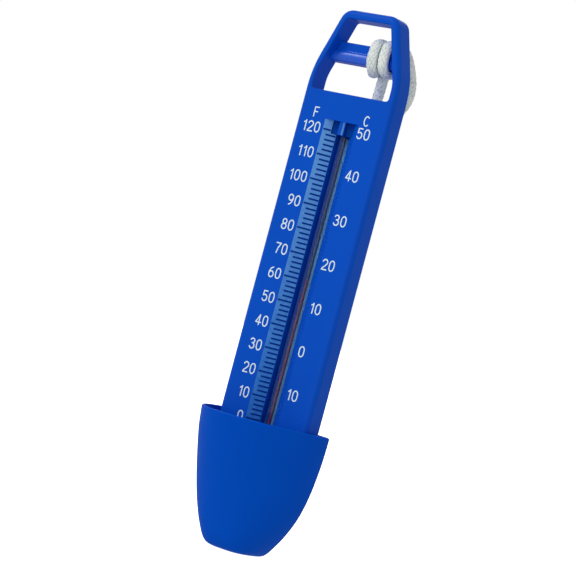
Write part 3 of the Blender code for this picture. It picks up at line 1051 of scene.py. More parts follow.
    def tube_slot(self) -> Solid:
        """The room above the trough, behind the lug, for the tube's end and its stop."""
        low = (-self.channel_half, body_y(self.lug_back), self.trough_bottom + 0.5 * MM)
        return box_mesh(low, (self.channel_half, body_y(self.cover_front), self.channel_top))

    def across_lug(self, front: float, back: float, extra: float) -> Solid:
        """A block across the top of the trough, behind or in front of the lug.

        Args:
            front: Depth of its front.
            back: Depth of its back.
            extra: How far it runs past the trough's top.

        Returns:
            The mesh.
        """
        low = (-self.web_half, body_y(front), self.lug_bottom)
        return box_mesh(low, (self.web_half, body_y(back), self.trough_top + extra))

    def lug(self) -> Solid:
        """The half-round lug that holds the top of the tube back."""
        section = [(self.lug_half, self.lug_back)]
        for step in range(13):
            angle = math.pi * step / 12
            depth = self.lug_half + 0.3 * MM - self.lug_half * math.sin(angle)
            section.append((self.lug_half * math.cos(angle), depth))
        section.append((-self.lug_half, self.lug_back))
        return self.upright(section, self.lug_bottom, self.trough_top + 0.4 * MM)

    def recess(self) -> Solid:
        """The shallow recess that the rear cover lies in."""
        side = [
            (self.foot_half - 1.0 * MM, self.foot_z + 1.6 * MM, 1.5 * MM),
            (self.chamber_outer + 0.6 * MM, self.foot_shoulder_z + 0.6 * MM, 5 * MM),
            (self.chamber_outer + 0.6 * MM, self.window_bottom - 1.7 * MM, 1.5 * MM),
        ]
        outline = rounded_outline(mirrored(side), 6)
        return plate(outline, [(self.recess_front, 0), (BODY_DEPTH + 1 * MM, 0)])

    def chamber(self, side: int) -> Solid:
        """The hollow on one side, which holds the foam and the weight.

        Args:
            side: -1 for the left one, 1 for the right.

        Returns:
            The tool shape.
        """
        top = self.window_bottom - 2.7 * MM
        low = self.foot_z + 2.5 * MM
        corners = [
            (side * self.chamber_inner, low),
            (side * (self.foot_half - 1.5 * MM), low),
            (side * self.chamber_outer, self.foot_shoulder_z + 0.8 * MM),
            (side * self.chamber_outer, top),
            (side * self.chamber_inner, top),
        ]
        bm = bmesh.new()
        ends = (self.front_wall, self.recess_front + 0.1 * MM)
        skin(bm, [[Vector((x, body_y(d), z)) for x, z in corners] for d in ends])
        return bm

    def boss_places(self) -> list[tuple[float, float]]:
        """(x, z) of each screw boss."""
        return [(side * self.boss_x, z) for side in (-1, 1) for z in self.boss_zs]

    def boss(self, x: float, z: float) -> Solid:
        """One screw boss."""
        ends = (self.front_wall - 0.3 * MM, self.recess_front)
        return along_depth(turned([(self.boss_radius, end) for end in ends], 28), x, z)

    def boss_hole(self, x: float, z: float) -> Solid:
        """The pilot hole in a boss."""
        return along_depth(turned([(1.05 * MM, 2.5 * MM), (1.05 * MM, BODY_DEPTH)], 20), x, z)

    def frost_slopes(self, shell: Piece, finishes: Finishes) -> None:
        """Dress the left slope in its frosted finish with a painted sheen, paint shade on the lug's pocket,
        and paint a highlight on the bar's bead.

        Args:
            shell: The shell.
            finishes: The finishes.
        """
        for finish in (finishes.scale, finishes.marks, finishes.bead):
            shell.data.materials.append(finish)
        for face in shell.data.polygons:
            centre, facing = face.center, face.normal
            inside = abs(centre.x) < self.trough_half and self.trough_bottom < centre.z < self.trough_top
            if inside and 0.45 < facing.x < 0.8 and facing.y < -0.4:
                face.material_index = 1
            # The lug's pocket walls get the darker blue as painted shade.
            if inside and centre.z > self.lug_bottom and abs(centre.x) < self.web_half + 0.1 * MM:
                if centre.y > body_y(0.8 * MM) and abs(facing.z) < 0.5 and abs(centre.x) > self.lug_half:
                    face.material_index = 2
            # The bar's bead gets the glossier finish, its blue lightened as a painted highlight.
            on_bead = self.bar_bottom < centre.z < self.bar_bottom + 4.4 * MM
            if on_bead and body_y(3.5 * MM) < centre.y < body_y(5 * MM) and facing.y < -0.1:
                if abs(facing.x) < 0.1:
                    face.material_index = 3


@dataclass
class RearCover:
    """The flat plate screwed over the back, which also floors the tube's channel."""

    shell: FrontShell
    inset: float = 0.25 * MM
    edge: float = 0.3 * MM
    head_radius: float = 2.1 * MM
    head_height: float = 1.1 * MM

    def build(self, finishes: Finishes) -> Piece:
        """Build the cover.

        Args:
            finishes: The finishes.

        Returns:
            The piece.
        """
        shell = self.shell
        outer = shell.chamber_outer + 0.6 * MM - self.inset
        side = [
            (shell.foot_half - 1.4 * MM, shell.foot_z + 1.6 * MM + self.inset, 1.5 * MM),
            (outer, shell.foot_shoulder_z + 0.8 * MM, 5 * MM),
            (outer, shell.window_bottom - 1.7 * MM - self.inset, 1.5 * MM),
        ]
        outline = rounded_outline(mirrored(side), 8)
        profile = solid_profile(BODY_DEPTH, 0.12 * MM, self.edge, shell.cover_front)
        cover = new_object("back_cover", plate(outline, profile), finishes.cover)
        holes = gathered(self.hole(x, z, BODY_DEPTH) for x, z in shell.boss_places())
        cut(cover, Cut.TAKE, holes)
        cut(cover, Cut.TAKE, gathered(self.ejector_mark(z) for z in (58 * MM, 146 * MM)))
        tidied(cover)
        smooth(cover)
        return install(cover, Slot.COVER, "rear_cover")

    def hole(self, x: float, z: float, depth: float) -> Solid:
        """A countersunk screw hole that ends at this depth.

        Args:
            x: Its X.
            z: Its Z.
            depth: Depth of the face that the head lies flush with.

        Returns:
            The tool's mesh.
        """
        profile = [
            (1.05 * MM, depth - 3 * MM),
            (1.05 * MM, depth - self.head_height),
            (self.head_radius, depth + 0.05 * MM),
            (self.head_radius, depth + 0.5 * MM),
        ]
        return along_depth(turned(profile, 36), x, z)

    def ejector_mark(self, z: float) -> Solid:
        """The shallow round mark of an ejector pin."""
        ends = (BODY_DEPTH - 0.1 * MM, BODY_DEPTH + 1 * MM)
        return along_depth(turned([(2.4 * MM, end) for end in ends], 40), 0, z)


# ---------------------------------------------------------------- scale


class Scale(Enum):
    """A temperature scale: its low end, high end, step and long step."""

    FAHRENHEIT = (0, 120, 2, 10)
    CELSIUS = (-17, 50, 1, 5)

    def height(self, value: float) -> float:
        """Where a temperature stands on the tube.

        Args:
            value: The temperature in this scale.

        Returns:
            Its Z.
        """
        degrees = value if self is Scale.FAHRENHEIT else value * 1.8 + 32
        return (46.4 + 0.901 * degrees + 0.024 * (degrees - 60) ** 2 / 100) * MM


@dataclass
class Graduations:
    """The fine moulded lines on one slope of the trough."""

    shell: FrontShell
    scale: Scale
    side: int
    width: float = 0.62 * MM
    proud: float = 0.1 * MM
    sunk: float = 0.06 * MM
    minor_start: float = 0.27
    pocket_end: float = 0.53

    def build(self, finishes: Finishes) -> Piece:
        """Build the lines.

        Args:
            finishes: The finishes.

        Returns:
            The piece.
        """
        low, high, step, long_step = self.scale.value
        bm = bmesh.new()
        for value in range(low, high + 1, step):
            z = self.scale.height(value)
            end = self.pocket_end if z > self.shell.lug_bottom - self.width / 2 else 0.945
            self.line(bm, z, 0.03 if value % long_step == 0 else self.minor_start, end)
        name = f"{self.scale.name.lower()}_graduations"
        # The Fahrenheit lines take the blue darkened as painted shade; the Celsius lines keep the body's
        # blue.
        finish = finishes.marks if self.scale is Scale.FAHRENHEIT else finishes.body
        obj = new_object(name, bm, finish)
        obj.data.shade_smooth()
        obj.data.set_sharp_from_angle(angle=ROUND_ANGLE)
        return install(obj, Slot.BODY)

    def line(self, bm: Solid, z: float, start: float, end: float) -> None:
        """Add one line.

        Args:
            bm: The mesh it goes into.
            z: Its height.
            start: Where on the slope it starts, from 0 to 1.
            end: Where it ends.
        """
        shell = self.shell
        top = Vector((self.side * shell.trough_half, body_y(0), 0))
        foot = Vector((self.side * shell.channel_half, body_y(shell.slope_depth), 0))
        along = (foot - top).normalized()
        facing = Vector((along.y * -self.side, -abs(along.x), 0)).normalized()
        length = (foot - top).length
        half = self.width / 2
        section = [(-half, -self.sunk), (-half, 0.4 * self.proud), (-half * 0.72, 0.85 * self.proud)]
        section += [(-half * 0.35, self.proud), (half * 0.35, self.proud)]
        section += [(half * 0.72, 0.85 * self.proud), (half, 0.4 * self.proud), (half, -self.sunk)]
        loops = []
        for place, shrink in ((start, 0.55), (start + 0.03, 1.0), (end, 1.0), (end + 0.02, 0.55)):
            base = top + along * (length * place)
            loops.append(
                [
                    base + facing * (h * shrink if h > 0 else h) + Vector((0, 0, z + w * shrink))
                    for w, h in section
                ]
            )
        skin(bm, loops)


def arc(
    centre: tuple[float, float], radii: tuple[float, float], start: float, end: float, steps: int = 12
) -> list[tuple[float, float]]:
    """Points on part of an ellipse.

    Args:
        centre: Its centre.
        radii: Its two radii.
        start: The first angle in degrees.
        end: The last angle in degrees.
        steps: How many steps the part has.

    Returns:
        The points.
    """
    angles = [math.radians(start + (end - start) * i / steps) for i in range(steps + 1)]
    return [(centre[0] + radii[0] * math.cos(a), centre[1] + radii[1] * math.sin(a)) for a in angles]


@dataclass(frozen=True)
class Stroke:
    """One pen stroke of a figure, in millimetres, open or closed."""

    points: tuple[tuple[float, float], ...]
    closed: bool = False


def figure_strokes() -> dict[str, tuple[list[Stroke], float]]:
    """The strokes of each figure in millimetres for a height of 4.15, with its advance."""

    def pen(*parts: Sequence[tuple[float, float]], closed: bool = False) -> Stroke:
        """One stroke through these runs of points."""
        return Stroke(tuple(point for part in parts for point in part), closed)

    top, low, left, right = 3.9, 0.25, 0.25, 2.2
    middle = (left + right) / 2
    wide = (right - left) / 2
    bowl = arc((middle, 1.33), (wide, 1.08), 0, 360, 32)[:-1]
    crown = arc((middle, top - 1.08), (wide, 1.08), 0, 360, 32)[:-1]
    zero = [*arc((middle, top - 1.25), (wide, 1.25), 0, 180, 14)]
    zero += [*arc((middle, low + 1.25), (wide, 1.25), 180, 360, 14)]
    return {
        "0": ([pen(zero, closed=True)], 3.05),
        "1": ([pen([(1.15, low), (1.15, top)]), pen([(1.15, top), (0.9, 3.5), (0.35, 3.15)])], 2.15),
        "2": (
            [
                pen(
                    arc((middle, 2.95), (wide, 0.95), 168, -35, 14),
                    [(1.3, 1.55), (0.55, 0.85), (left, low)],
                ),
                pen([(left, low), (right, low)]),
            ],
            3.0,
        ),
        "3": (
            [
                pen(arc((1.12, 3.05), (0.88, 0.85), 160, -85, 14)),
                pen(arc((1.15, 1.25), (1.02, 1.0), 95, -160, 16)),
            ],
            2.95,
        ),
        "4": (
            [
                pen([(1.62, low), (1.62, top)]),
                pen([(1.62, top), (0.2, 1.15)]),
                pen([(0.2, 1.15), (2.3, 1.15)]),
            ],
            3.0,
        ),
        "5": (
            [
                pen([(2.05, top), (0.55, top)]),
                pen([(0.55, top), (0.42, 2.25)]),
                pen([(0.42, 2.25)], arc((1.18, 1.4), (1.02, 1.15), 120, -155, 18)),
            ],
            3.0,
        ),
        "6": ([pen(bowl, closed=True), pen(arc((1.95, 1.5), (1.7, 2.4), 180, 97, 12))], 3.0),
        "7": ([pen([(left, top), (right, top)]), pen([(right, top), (1.25, 2.2), (0.85, low)])], 2.9),
        "8": (
            [
                pen(arc((middle, 3.02), (0.84, 0.88), 0, 360, 28)[:-1], closed=True),
                pen(arc((middle, 1.22), (0.99, 0.98), 0, 360, 32)[:-1], closed=True),
            ],
            3.0,
        ),
        "9": ([pen(crown, closed=True), pen(arc((0.5, 2.65), (1.7, 2.4), 0, -83, 12))], 3.0),
        "F": (
            [pen([(0.4, low), (0.4, top)]), pen([(0.4, top), (2.1, top)]), pen([(0.4, 2.15), (1.8, 2.15)])],
            2.6,
        ),
        "C": ([pen(arc((1.35, 2.08), (1.1, 1.82), 48, 312, 24))], 2.7),
    }


@dataclass
class PrintedFigures:
    """The raised printed numbers and headings beside the trough."""

    pen: float = 0.46 * MM
    thickness: float = 0.05 * MM
    sunk: float = 0.03 * MM
    height: float = 4.15 * MM
    fahrenheit_right: float = -8.35 * MM
    celsius_left: float = 7.75 * MM
    strokes: dict[str, tuple[list[Stroke], float]] = field(default_factory=figure_strokes)
    meshes: dict[str, bpy.types.Mesh] = field(default_factory=dict)

    def build(self, finishes: Finishes) -> list[Piece]:
        """Build every label.

        Args:
            finishes: The finishes.

        Returns:
            The pieces.
        """
        for figure in self.strokes:
            self.meshes[figure] = self.figure_mesh(figure)
        rows = {
            "fahrenheit_numbers": [
                (str(v), self.fahrenheit_right - self.width(str(v)), Scale.FAHRENHEIT.height(v), 1.0)
                for v in range(0, 121, 10)
            ],
            "celsius_numbers": [
                (str(abs(v)), self.celsius_left, Scale.CELSIUS.height(v) - (1.1 * MM if v == 50 else 0), 1.0)
                for v in range(-10, 51, 10)
            ],
            "scale_headings": [("F", -12.9 * MM, 160.8 * MM, 0.95), ("C", 9.2 * MM, 160.9 * MM, 0.95)],
        }
        pieces = []
        for name, labels in rows.items():
            bm = bmesh.new()
            for text, x, z, size in labels:
                self.add_label(bm, text, x, z, size)
            obj = new_object(name, bm, finishes.ink)
            obj.data.shade_flat()
            pieces.append(install(obj, Slot.BODY))
        for mesh in self.meshes.values():
            bpy.data.meshes.remove(mesh)
        return pieces

    def width(self, text: str) -> float:
        """How wide a label is."""
        return (sum(self.strokes[figure][1] for figure in text) - 0.55) * MM

    def add_label(self, bm: Solid, text: str, x: float, z: float, size: float) -> None:
        """Add one label.

        Args:
            bm: The mesh it goes into.
            text: Its figures.
            x: Its left edge.
            z: Its middle.
            size: Its size against the numbers'.
        """
        for figure in text:
            part = bmesh.new()
            part.from_mesh(self.meshes[figure])
            scale = Matrix.Diagonal((size, 1, size, 1))
            moved(part, Matrix.Translation((x, 0, z - self.height * size / 2)) @ scale)
            mesh = bpy.data.meshes.new("figure")
            part.to_mesh(mesh)
            part.free()
            bm.from_mesh(mesh)
            bpy.data.meshes.remove(mesh)
            x += self.strokes[figure][1] * MM * size

    def figure_mesh(self, figure: str) -> bpy.types.Mesh:
        """Fuse a figure's strokes into one flat solid.

        Args:
            figure: The figure.

        Returns:
            Its mesh.
        """
        first, *others = self.strokes[figure][0]
        obj = new_object(f"figure_{figure}", self.stroke_mesh(first, 0))
        for index, stroke in enumerate(others, start=1):
            cut(obj, Cut.JOIN, self.stroke_mesh(stroke, index))
        mesh = obj.data
        bpy.data.objects.remove(obj, do_unlink=True)
        return mesh

    def stroke_mesh(self, stroke: Stroke, index: int) -> Solid:
        """A flat solid along a stroke, with round ends.

        Args:
            stroke: The stroke.
            index: Its number, which makes it a hair thinner than the last.

        Returns:
            The mesh.
        """
        points = [Vector(point) * MM for point in stroke.points]
        half = self.pen / 2
        count = len(points)
        sides = []
        for i, here in enumerate(points):
            before = points[i - 1] if i or stroke.closed else here
            after = points[(i + 1) % count] if i < count - 1 or stroke.closed else here
            way = (after - before).normalized()
            sides.append(Vector((-way.y, way.x)) * half)
        lift = index * 0.002 * MM
        front, back = -self.thickness + lift, self.sunk - lift
        bm = bmesh.new()
        if stroke.closed:
            loops = []
            for sign, depth in ((1, front), (-1, front), (-1, back), (1, back)):
                loop = [p + side * sign for p, side in zip(points, sides)]
                loops.append([Vector((p.x, body_y(depth), p.y)) for p in loop])
            skin(bm, loops, endless=True)
            return bm
        edge = [p + side for p, side in zip(points, sides)]
        edge += self.round_end(points[-1], sides[-1])
        edge += [p - side for p, side in zip(reversed(points), reversed(sides))]
        edge += self.round_end(points[0], -sides[0])
        skin(bm, [[Vector((p.x, body_y(d), p.y)) for p in edge] for d in (front, back)])
        return bm

    def round_end(self, centre: Vector, side: Vector) -> list[Vector]:
        """Points round the end of a stroke, from one side to the other."""
        angles = [-math.pi * step / 6 for step in range(1, 6)]
        return [centre + Matrix.Rotation(angle, 2) @ side for angle in angles]


# ---------------------------------------------------------------- cup


@dataclass
class ScoopCup:
    """The open cup round the bulb: height, half width, depth and squareness of each ring."""

    wall: float = 1.2 * MM
    corner: float = 2.0 * MM
    floor_z: float = 1.6 * MM
    stations: tuple[tuple[float, float, float, float], ...] = (
        (0.0, 8.4, 14.2, 2.9),
        (0.5, 9.8, 15.8, 2.9),
        (1.4, 11.0, 16.8, 2.9),
        (2.6, 12.1, 17.6, 2.8),
        (4.8, 13.7, 18.7, 2.6),
        (8.9, 16.4, 20.2, 2.35),
        (15.3, 19.6, 22.4, 2.1),
        (21.7, 21.7, 24.6, 2.0),
        (28.2, 23.0, 26.7, 2.0),
        (34.6, 23.8, 28.9, 2.02),
        (41.1, 24.3, 31.0, 2.05),
        (48.2, 24.5, 33.2, 2.0),
    )
    back_y: float = field(init=False, default=0.0)

    def build(self, finishes: Finishes, cover: RearCover) -> Piece:
        """Build the cup.

        Args:
            finishes: The finishes.
            cover: The rear cover, for its screw holes.

        Returns:
            The piece.
        """
        self.back_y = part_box("scoop_cup")[1].y
        top = self.stations[-1][0] * MM
        lip = self.wall / 2
        heights = [0.0, 0.15, 0.35, 0.6, 0.9, 1.4, 2.0, 2.8, 3.8, 5.0, 6.5, 8.2]
        heights += [10 + 2.2 * step for step in range(17)]
        loops = [self.loop(z * MM, 0.0) for z in heights if z * MM < top - lip]
        for step in range(9):
            angle = math.pi * step / 8
            loops.append(
                self.loop(top - lip + lip * math.sin(angle), lip * (1 - math.cos(angle)), top - lip)
            )
        inner = [z * MM for z in reversed(heights) if self.floor_z + 1.2 * MM < z * MM < top - lip]
        loops += [self.loop(z, self.wall) for z in inner]
        loops += [self.loop(self.floor_z + 0.35 * MM, self.wall * 1.25, self.floor_z + 1.2 * MM)]
        loops += [self.loop(self.floor_z, self.wall * 2.0, self.floor_z + 1.2 * MM)]
        bm = bmesh.new()
        skin(bm, loops)
        cup = new_object("pool_scoop_cup", bm, finishes.cup)
        flush = self.back_y - FRONT_Y
        shell = cover.shell
        for side in (-1, 1):
            cut(cup, Cut.TAKE, cover.hole(side * shell.boss_x, shell.boss_zs[-1], flush))
        tidied(cup)
        smooth(cup, math.radians(38))
        return install(cup, Slot.CUP, "scoop_cup")

    def at(self, z: float) -> tuple[float, float, float]:
        """Find the cup's section at a height, on a smooth curve through the stations.

        Args:
            z: The height in metres.

        Returns:
            Half width, depth and squareness.
        """
        z = z / MM
        rows = self.stations
        i = max(k for k in range(len(rows) - 1) if rows[k][0] <= max(z, 0.0))
        here, after = rows[i], rows[i + 1]
        before, beyond = rows[max(i - 1, 0)], rows[min(i + 2, len(rows) - 1)]
        width = after[0] - here[0]
        t = min(1.0, (z - here[0]) / width)
        found = []
        for k in (1, 2, 3):
            into = (after[k] - before[k]) / (after[0] - before[0]) * width
            out = (beyond[k] - here[k]) / (beyond[0] - here[0]) * width
            found.append(
                (2 * t**3 - 3 * t**2 + 1) * here[k]
                + (t**3 - 2 * t**2 + t) * into
                + (3 * t**2 - 2 * t**3) * after[k]
                + (t**3 - t**2) * out
            )
        return found[0] * MM, found[1] * MM, found[2]

    def loop(self, z: float, inset: float, shape_z: float | None = None) -> list[Vector]:
        """One ring of the cup.

        Args:
            z: Its height.
            inset: How far it lies inside the outer surface.
            shape_z: The height whose plan it has, or None for its own.

        Returns:
            The ring's points.
        """
        half, depth, power = self.at(z if shape_z is None else shape_z)
        half, depth, back = half - inset, depth - 2 * inset, self.back_y - inset
        corner = min(self.corner, half / 3)
        points = []
        steps = 72
        for step in range(steps + 1):
            angle = math.pi * step / steps
            across = math.copysign(abs(math.cos(angle)) ** (2 / power), -math.cos(angle))
            ahead = abs(math.sin(angle)) ** (2 / power)
            points.append(Vector((half * across, back - corner - (depth - corner) * ahead, z)))
        for side, order in ((1, range(1, 8)), (-1, range(7, 0, -1))):
            for step in order:
                angle = math.pi / 2 * step / 7.3
                x = side * (half - corner + corner * math.cos(angle))
                points.append(Vector((x, back - corner + corner * math.sin(angle), z)))
        return points


# ---------------------------------------------------------------- tube


@dataclass
class GlassTube:
    """The sealed glass tube with its enamel strip, and the spirit in it."""

    depth: float = 5.2 * MM
    radius: float = 1.8 * MM
    bottom: float = 20 * MM
    top: float = 157.9 * MM
    bore: float = 0.36 * MM
    bulb: float = 1.25 * MM
    neck: float = 33 * MM
    spirit_radius: float = 0.42 * MM
    strip_turn: float = 72.0
    meniscus_height: float = 1.2 * MM

    def build(self, finishes: Finishes) -> None:
        """Build the tube, the strip and the spirit.

        Args:
            finishes: The finishes.
        """
        centre = Matrix.Translation((0, body_y(self.depth), 0))
        outer = [(0, self.bottom)]
        for step in range(1, 9):
            angle = math.pi / 2 * step / 8
            outer.append((self.radius * math.sin(angle), self.bottom + 1.5 * MM * (1 - math.cos(angle))))
        for step in range(8):
            angle = math.pi / 2 * step / 8
            outer.append((self.radius * math.cos(angle), self.top - 1.3 * MM * (1 - math.sin(angle))))
        outer.append((0, self.top))
        tube = new_object("thermometer_tube", moved(turned(outer, 48), centre), finishes.glass)
        smooth(tube, ROUND_ANGLE, False)
        install(tube, Slot.GLASS, "glass_tube", "glass_tip")
        top = self.top - 2.4 * MM
        bore = [(0, self.neck), (self.bore, self.neck), (self.bore, top - 0.4 * MM)]
        bore += [(self.bore * 0.6, top - 0.1 * MM), (0, top)]
        # A dark rod stands for the empty bore, as painted shade.
        rod = new_object("empty_bore_painted_shade", moved(turned(bore, 24), centre), finishes.bore)
        smooth(rod, ROUND_ANGLE, False)
        install(rod, Slot.GLASS)
        strip = new_object("enamel_strip", self.strip(), finishes.enamel)
        smooth(strip, ROUND_ANGLE, False)
        install(strip, Slot.GLASS)
        self.build_spirit(finishes, centre)

    def strip(self) -> Solid:
        """The enamel strip behind the bore, as a thin curved band."""
        angles = [math.radians(self.strip_turn + 30 * (step / 8 - 1)) for step in range(17)]
        low, high = self.neck + 3 * MM, self.top - 4 * MM
        section = [(1.62 * MM, a) for a in angles] + [(1.46 * MM, a) for a in reversed(angles)]
        bm = bmesh.new()
        across = [(r * math.cos(a), body_y(self.depth) + r * math.sin(a)) for r, a in section]
        levels = (low, low + 0.4 * MM, high - 0.4 * MM, high)
        skin(bm, [[Vector((x, y, z)) for x, y in across] for z in levels])
        return bm

    def build_spirit(self, finishes: Finishes, centre: Matrix) -> None:
        """Build the bulb's fill, the column and the column's moving top.

        Args:
            finishes: The finishes.
            centre: The tube's place.
        """
        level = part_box("spirit_meniscus")[1].z
        joint_z = level - self.meniscus_height
        fill_radius = self.bulb - 0.12 * MM
        fill = [(0, self.bottom + 1.3 * MM), (fill_radius * 0.75, self.bottom + 1.6 * MM)]
        fill += [(fill_radius, self.bottom + 2.3 * MM), (fill_radius, self.neck - 1.9 * MM)]
        fill += [(fill_radius * 0.75, self.neck - 1.2 * MM), (self.spirit_radius, self.neck - 0.5 * MM)]
        reservoir = new_object("bulb_spirit", moved(turned(fill, 28), centre), finishes.spirit)
        smooth(reservoir, ROUND_ANGLE, False)
        install(reservoir, Slot.SPIRIT, "spirit_reservoir")
        start = self.neck - 0.5 * MM
        rungs = 48
        heights = [start + (joint_z - start) * step / rungs for step in range(rungs + 1)]
        shape = turned([(self.spirit_radius, z) for z in heights], 20)
        column = new_object("spirit_thread", moved(shape, centre), finishes.spirit)
        smooth(column, ROUND_ANGLE, False)
        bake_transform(column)
        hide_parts("spirit_column")
        dome = [(self.spirit_radius, joint_z), (self.spirit_radius, level - 0.3 * MM)]
        dome += [(self.spirit_radius * 0.8, level - 0.1 * MM), (self.spirit_radius * 0.45, level - 0.02 * MM)]
        dome += [(0, level)]
        top = new_object("spirit_top", moved(turned(dome, 20), centre), finishes.spirit)
        smooth(top, ROUND_ANGLE, False)
        install(top, Slot.SPIRIT, "spirit_meniscus", body=Body.COLUMN_TOP)


# ---------------------------------------------------------------- hardware


@dataclass
class CrossScrew:
    """A countersunk screw with a cross recess and a coarse thread."""

    radius: float = 0.72 * MM
    core: float = 0.55 * MM
    head_radius: float = 1.75 * MM
    head_height: float = 1.1 * MM
    tip: float = 2.8 * MM
    pitch: float = 0.7 * MM

    def build(
        self, finishes: Finishes, name: str, node: str, x: float, z: float, head: float
    ) -> Piece:
        """Build one screw.

        Args:
            finishes: The finishes.
            name: The piece's name.
            node: The CAD node it stands for.
            x: Its X.
            z: Its Z.
            head: Depth of the outer face of its head.

        Returns:
            The piece.
        """
        profile = [(0, self.tip), (self.core * 0.6, self.tip + 0.5 * MM), (self.core, self.tip + 1.1 * MM)]
        shank_top = head - self.head_height - 0.1 * MM
        height = self.tip + 1.3 * MM
        while height + self.pitch < shank_top:
            profile += [(self.core, height), (self.radius, height + 0.26 * MM)]
            profile += [(self.radius, height + 0.34 * MM), (self.core, height + 0.6 * MM)]
            height += self.pitch
        profile += [(self.radius, shank_top), (self.head_radius - 0.1 * MM, head - 0.22 * MM)]
        profile += [(self.head_radius, head - 0.1 * MM), (self.head_radius - 0.12 * MM, head - 0.02 * MM)]
        profile += [(self.head_radius * 0.5, head), (0, head)]
        screw = new_object(name, along_depth(turned(profile, 28), x, z), finishes.screw)
        for turn in (0.35, 0.35 + math.pi / 2):
            cut(screw, Cut.TAKE, self.recess(x, z, head, turn))
        tidied(screw)
        smooth(screw, math.radians(35))
        return install(screw, Slot.SCREW, node)

    def recess(self, x: float, z: float, head: float, turn: float) -> Solid:
        """One slot of the cross, narrower at its bottom.

        Args:
            x: The screw's X.
            z: The screw's Z.
            head: Depth of the head's face.
            turn: How far the slot is turned.

        Returns:
            The tool's mesh.
        """
        bm = bmesh.new()
        loops = []
        for half, wide, level in ((0.25, 0.12, head - 0.72 * MM), (1.02, 0.2, head + 0.3 * MM)):
            corners = ((half, wide), (-half, wide), (-half, -wide), (half, -wide))
            loops.append([Vector((u * MM, v * MM, level)) for u, v in corners])
        skin(bm, loops)
        moved(bm, Matrix.Rotation(turn, 4, "Z"))
        return along_depth(bm, x, z)


@dataclass
class InnerParts:
    """The foam, weights and rubber parts: their CAD solids, dressed and with softened edges."""

    edge: float = 0.25 * MM

    def build(self, finishes: Finishes) -> None:
        """Dress the inner parts.

        Args:
            finishes: The finishes.
        """
        dress = {f"float_block_{s}_{h}": finishes.foam for s in ("left", "right") for h in ("lower", "upper")}
        dress |= {f"ballast_{side}": finishes.ballast for side in ("left", "right")}
        dress |= {name: finishes.rubber for name in ("tube_top_cushion", "tube_saddle")}
        for name, finish in dress.items():
            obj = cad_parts[name]
            for slot in obj.material_slots:
                slot.material = finish
            weld = obj.modifiers.new("weld", "WELD")
            weld.merge_threshold = SLIVER
            bevel = obj.modifiers.new("edges", "BEVEL")
            bevel.width = self.edge
            bevel.segments = 3
            bevel.limit_method = "ANGLE"
            bevel.angle_limit = math.radians(40)
            LOG.info("%s: dressed", name)


# ---------------------------------------------------------------- cord


def smooth_line(points: Sequence[Vector], spacing: float) -> list[Vector]:
    """Evenly spaced points on a smooth curve.

    Args:
        points: The points that it passes through.
        spacing: The distance between the points wanted.

    Returns:
        The points.
    """
    ends = [2 * points[0] - points[1], *points, 2 * points[-1] - points[-2]]
    fine: list[Vector] = []
    for a, b, c, d in zip(ends, ends[1:], ends[2:], ends[3:]):
        for step in range(16):
            t = step / 16
            fine.append(
                0.5 * (2 * b + (c - a) * t + (2 * a - 5 * b + 4 * c - d) * t**2)
                + 0.5 * (3 * b - 3 * c + d - a) * t**3
            )
    fine.append(points[-1])
    lengths = [0.0]
    for a, b in zip(fine, fine[1:]):
        lengths.append(lengths[-1] + (b - a).length)
    count = max(2, round(lengths[-1] / spacing))
    spaced, place = [], 0
    for step in range(count + 1):
        wanted = lengths[-1] * step / count
        while place < len(fine) - 2 and lengths[place + 1] < wanted:
            place += 1
        part = (wanted - lengths[place]) / (lengths[place + 1] - lengths[place])
        spaced.append(fine[place].lerp(fine[place + 1], part))
    return spaced


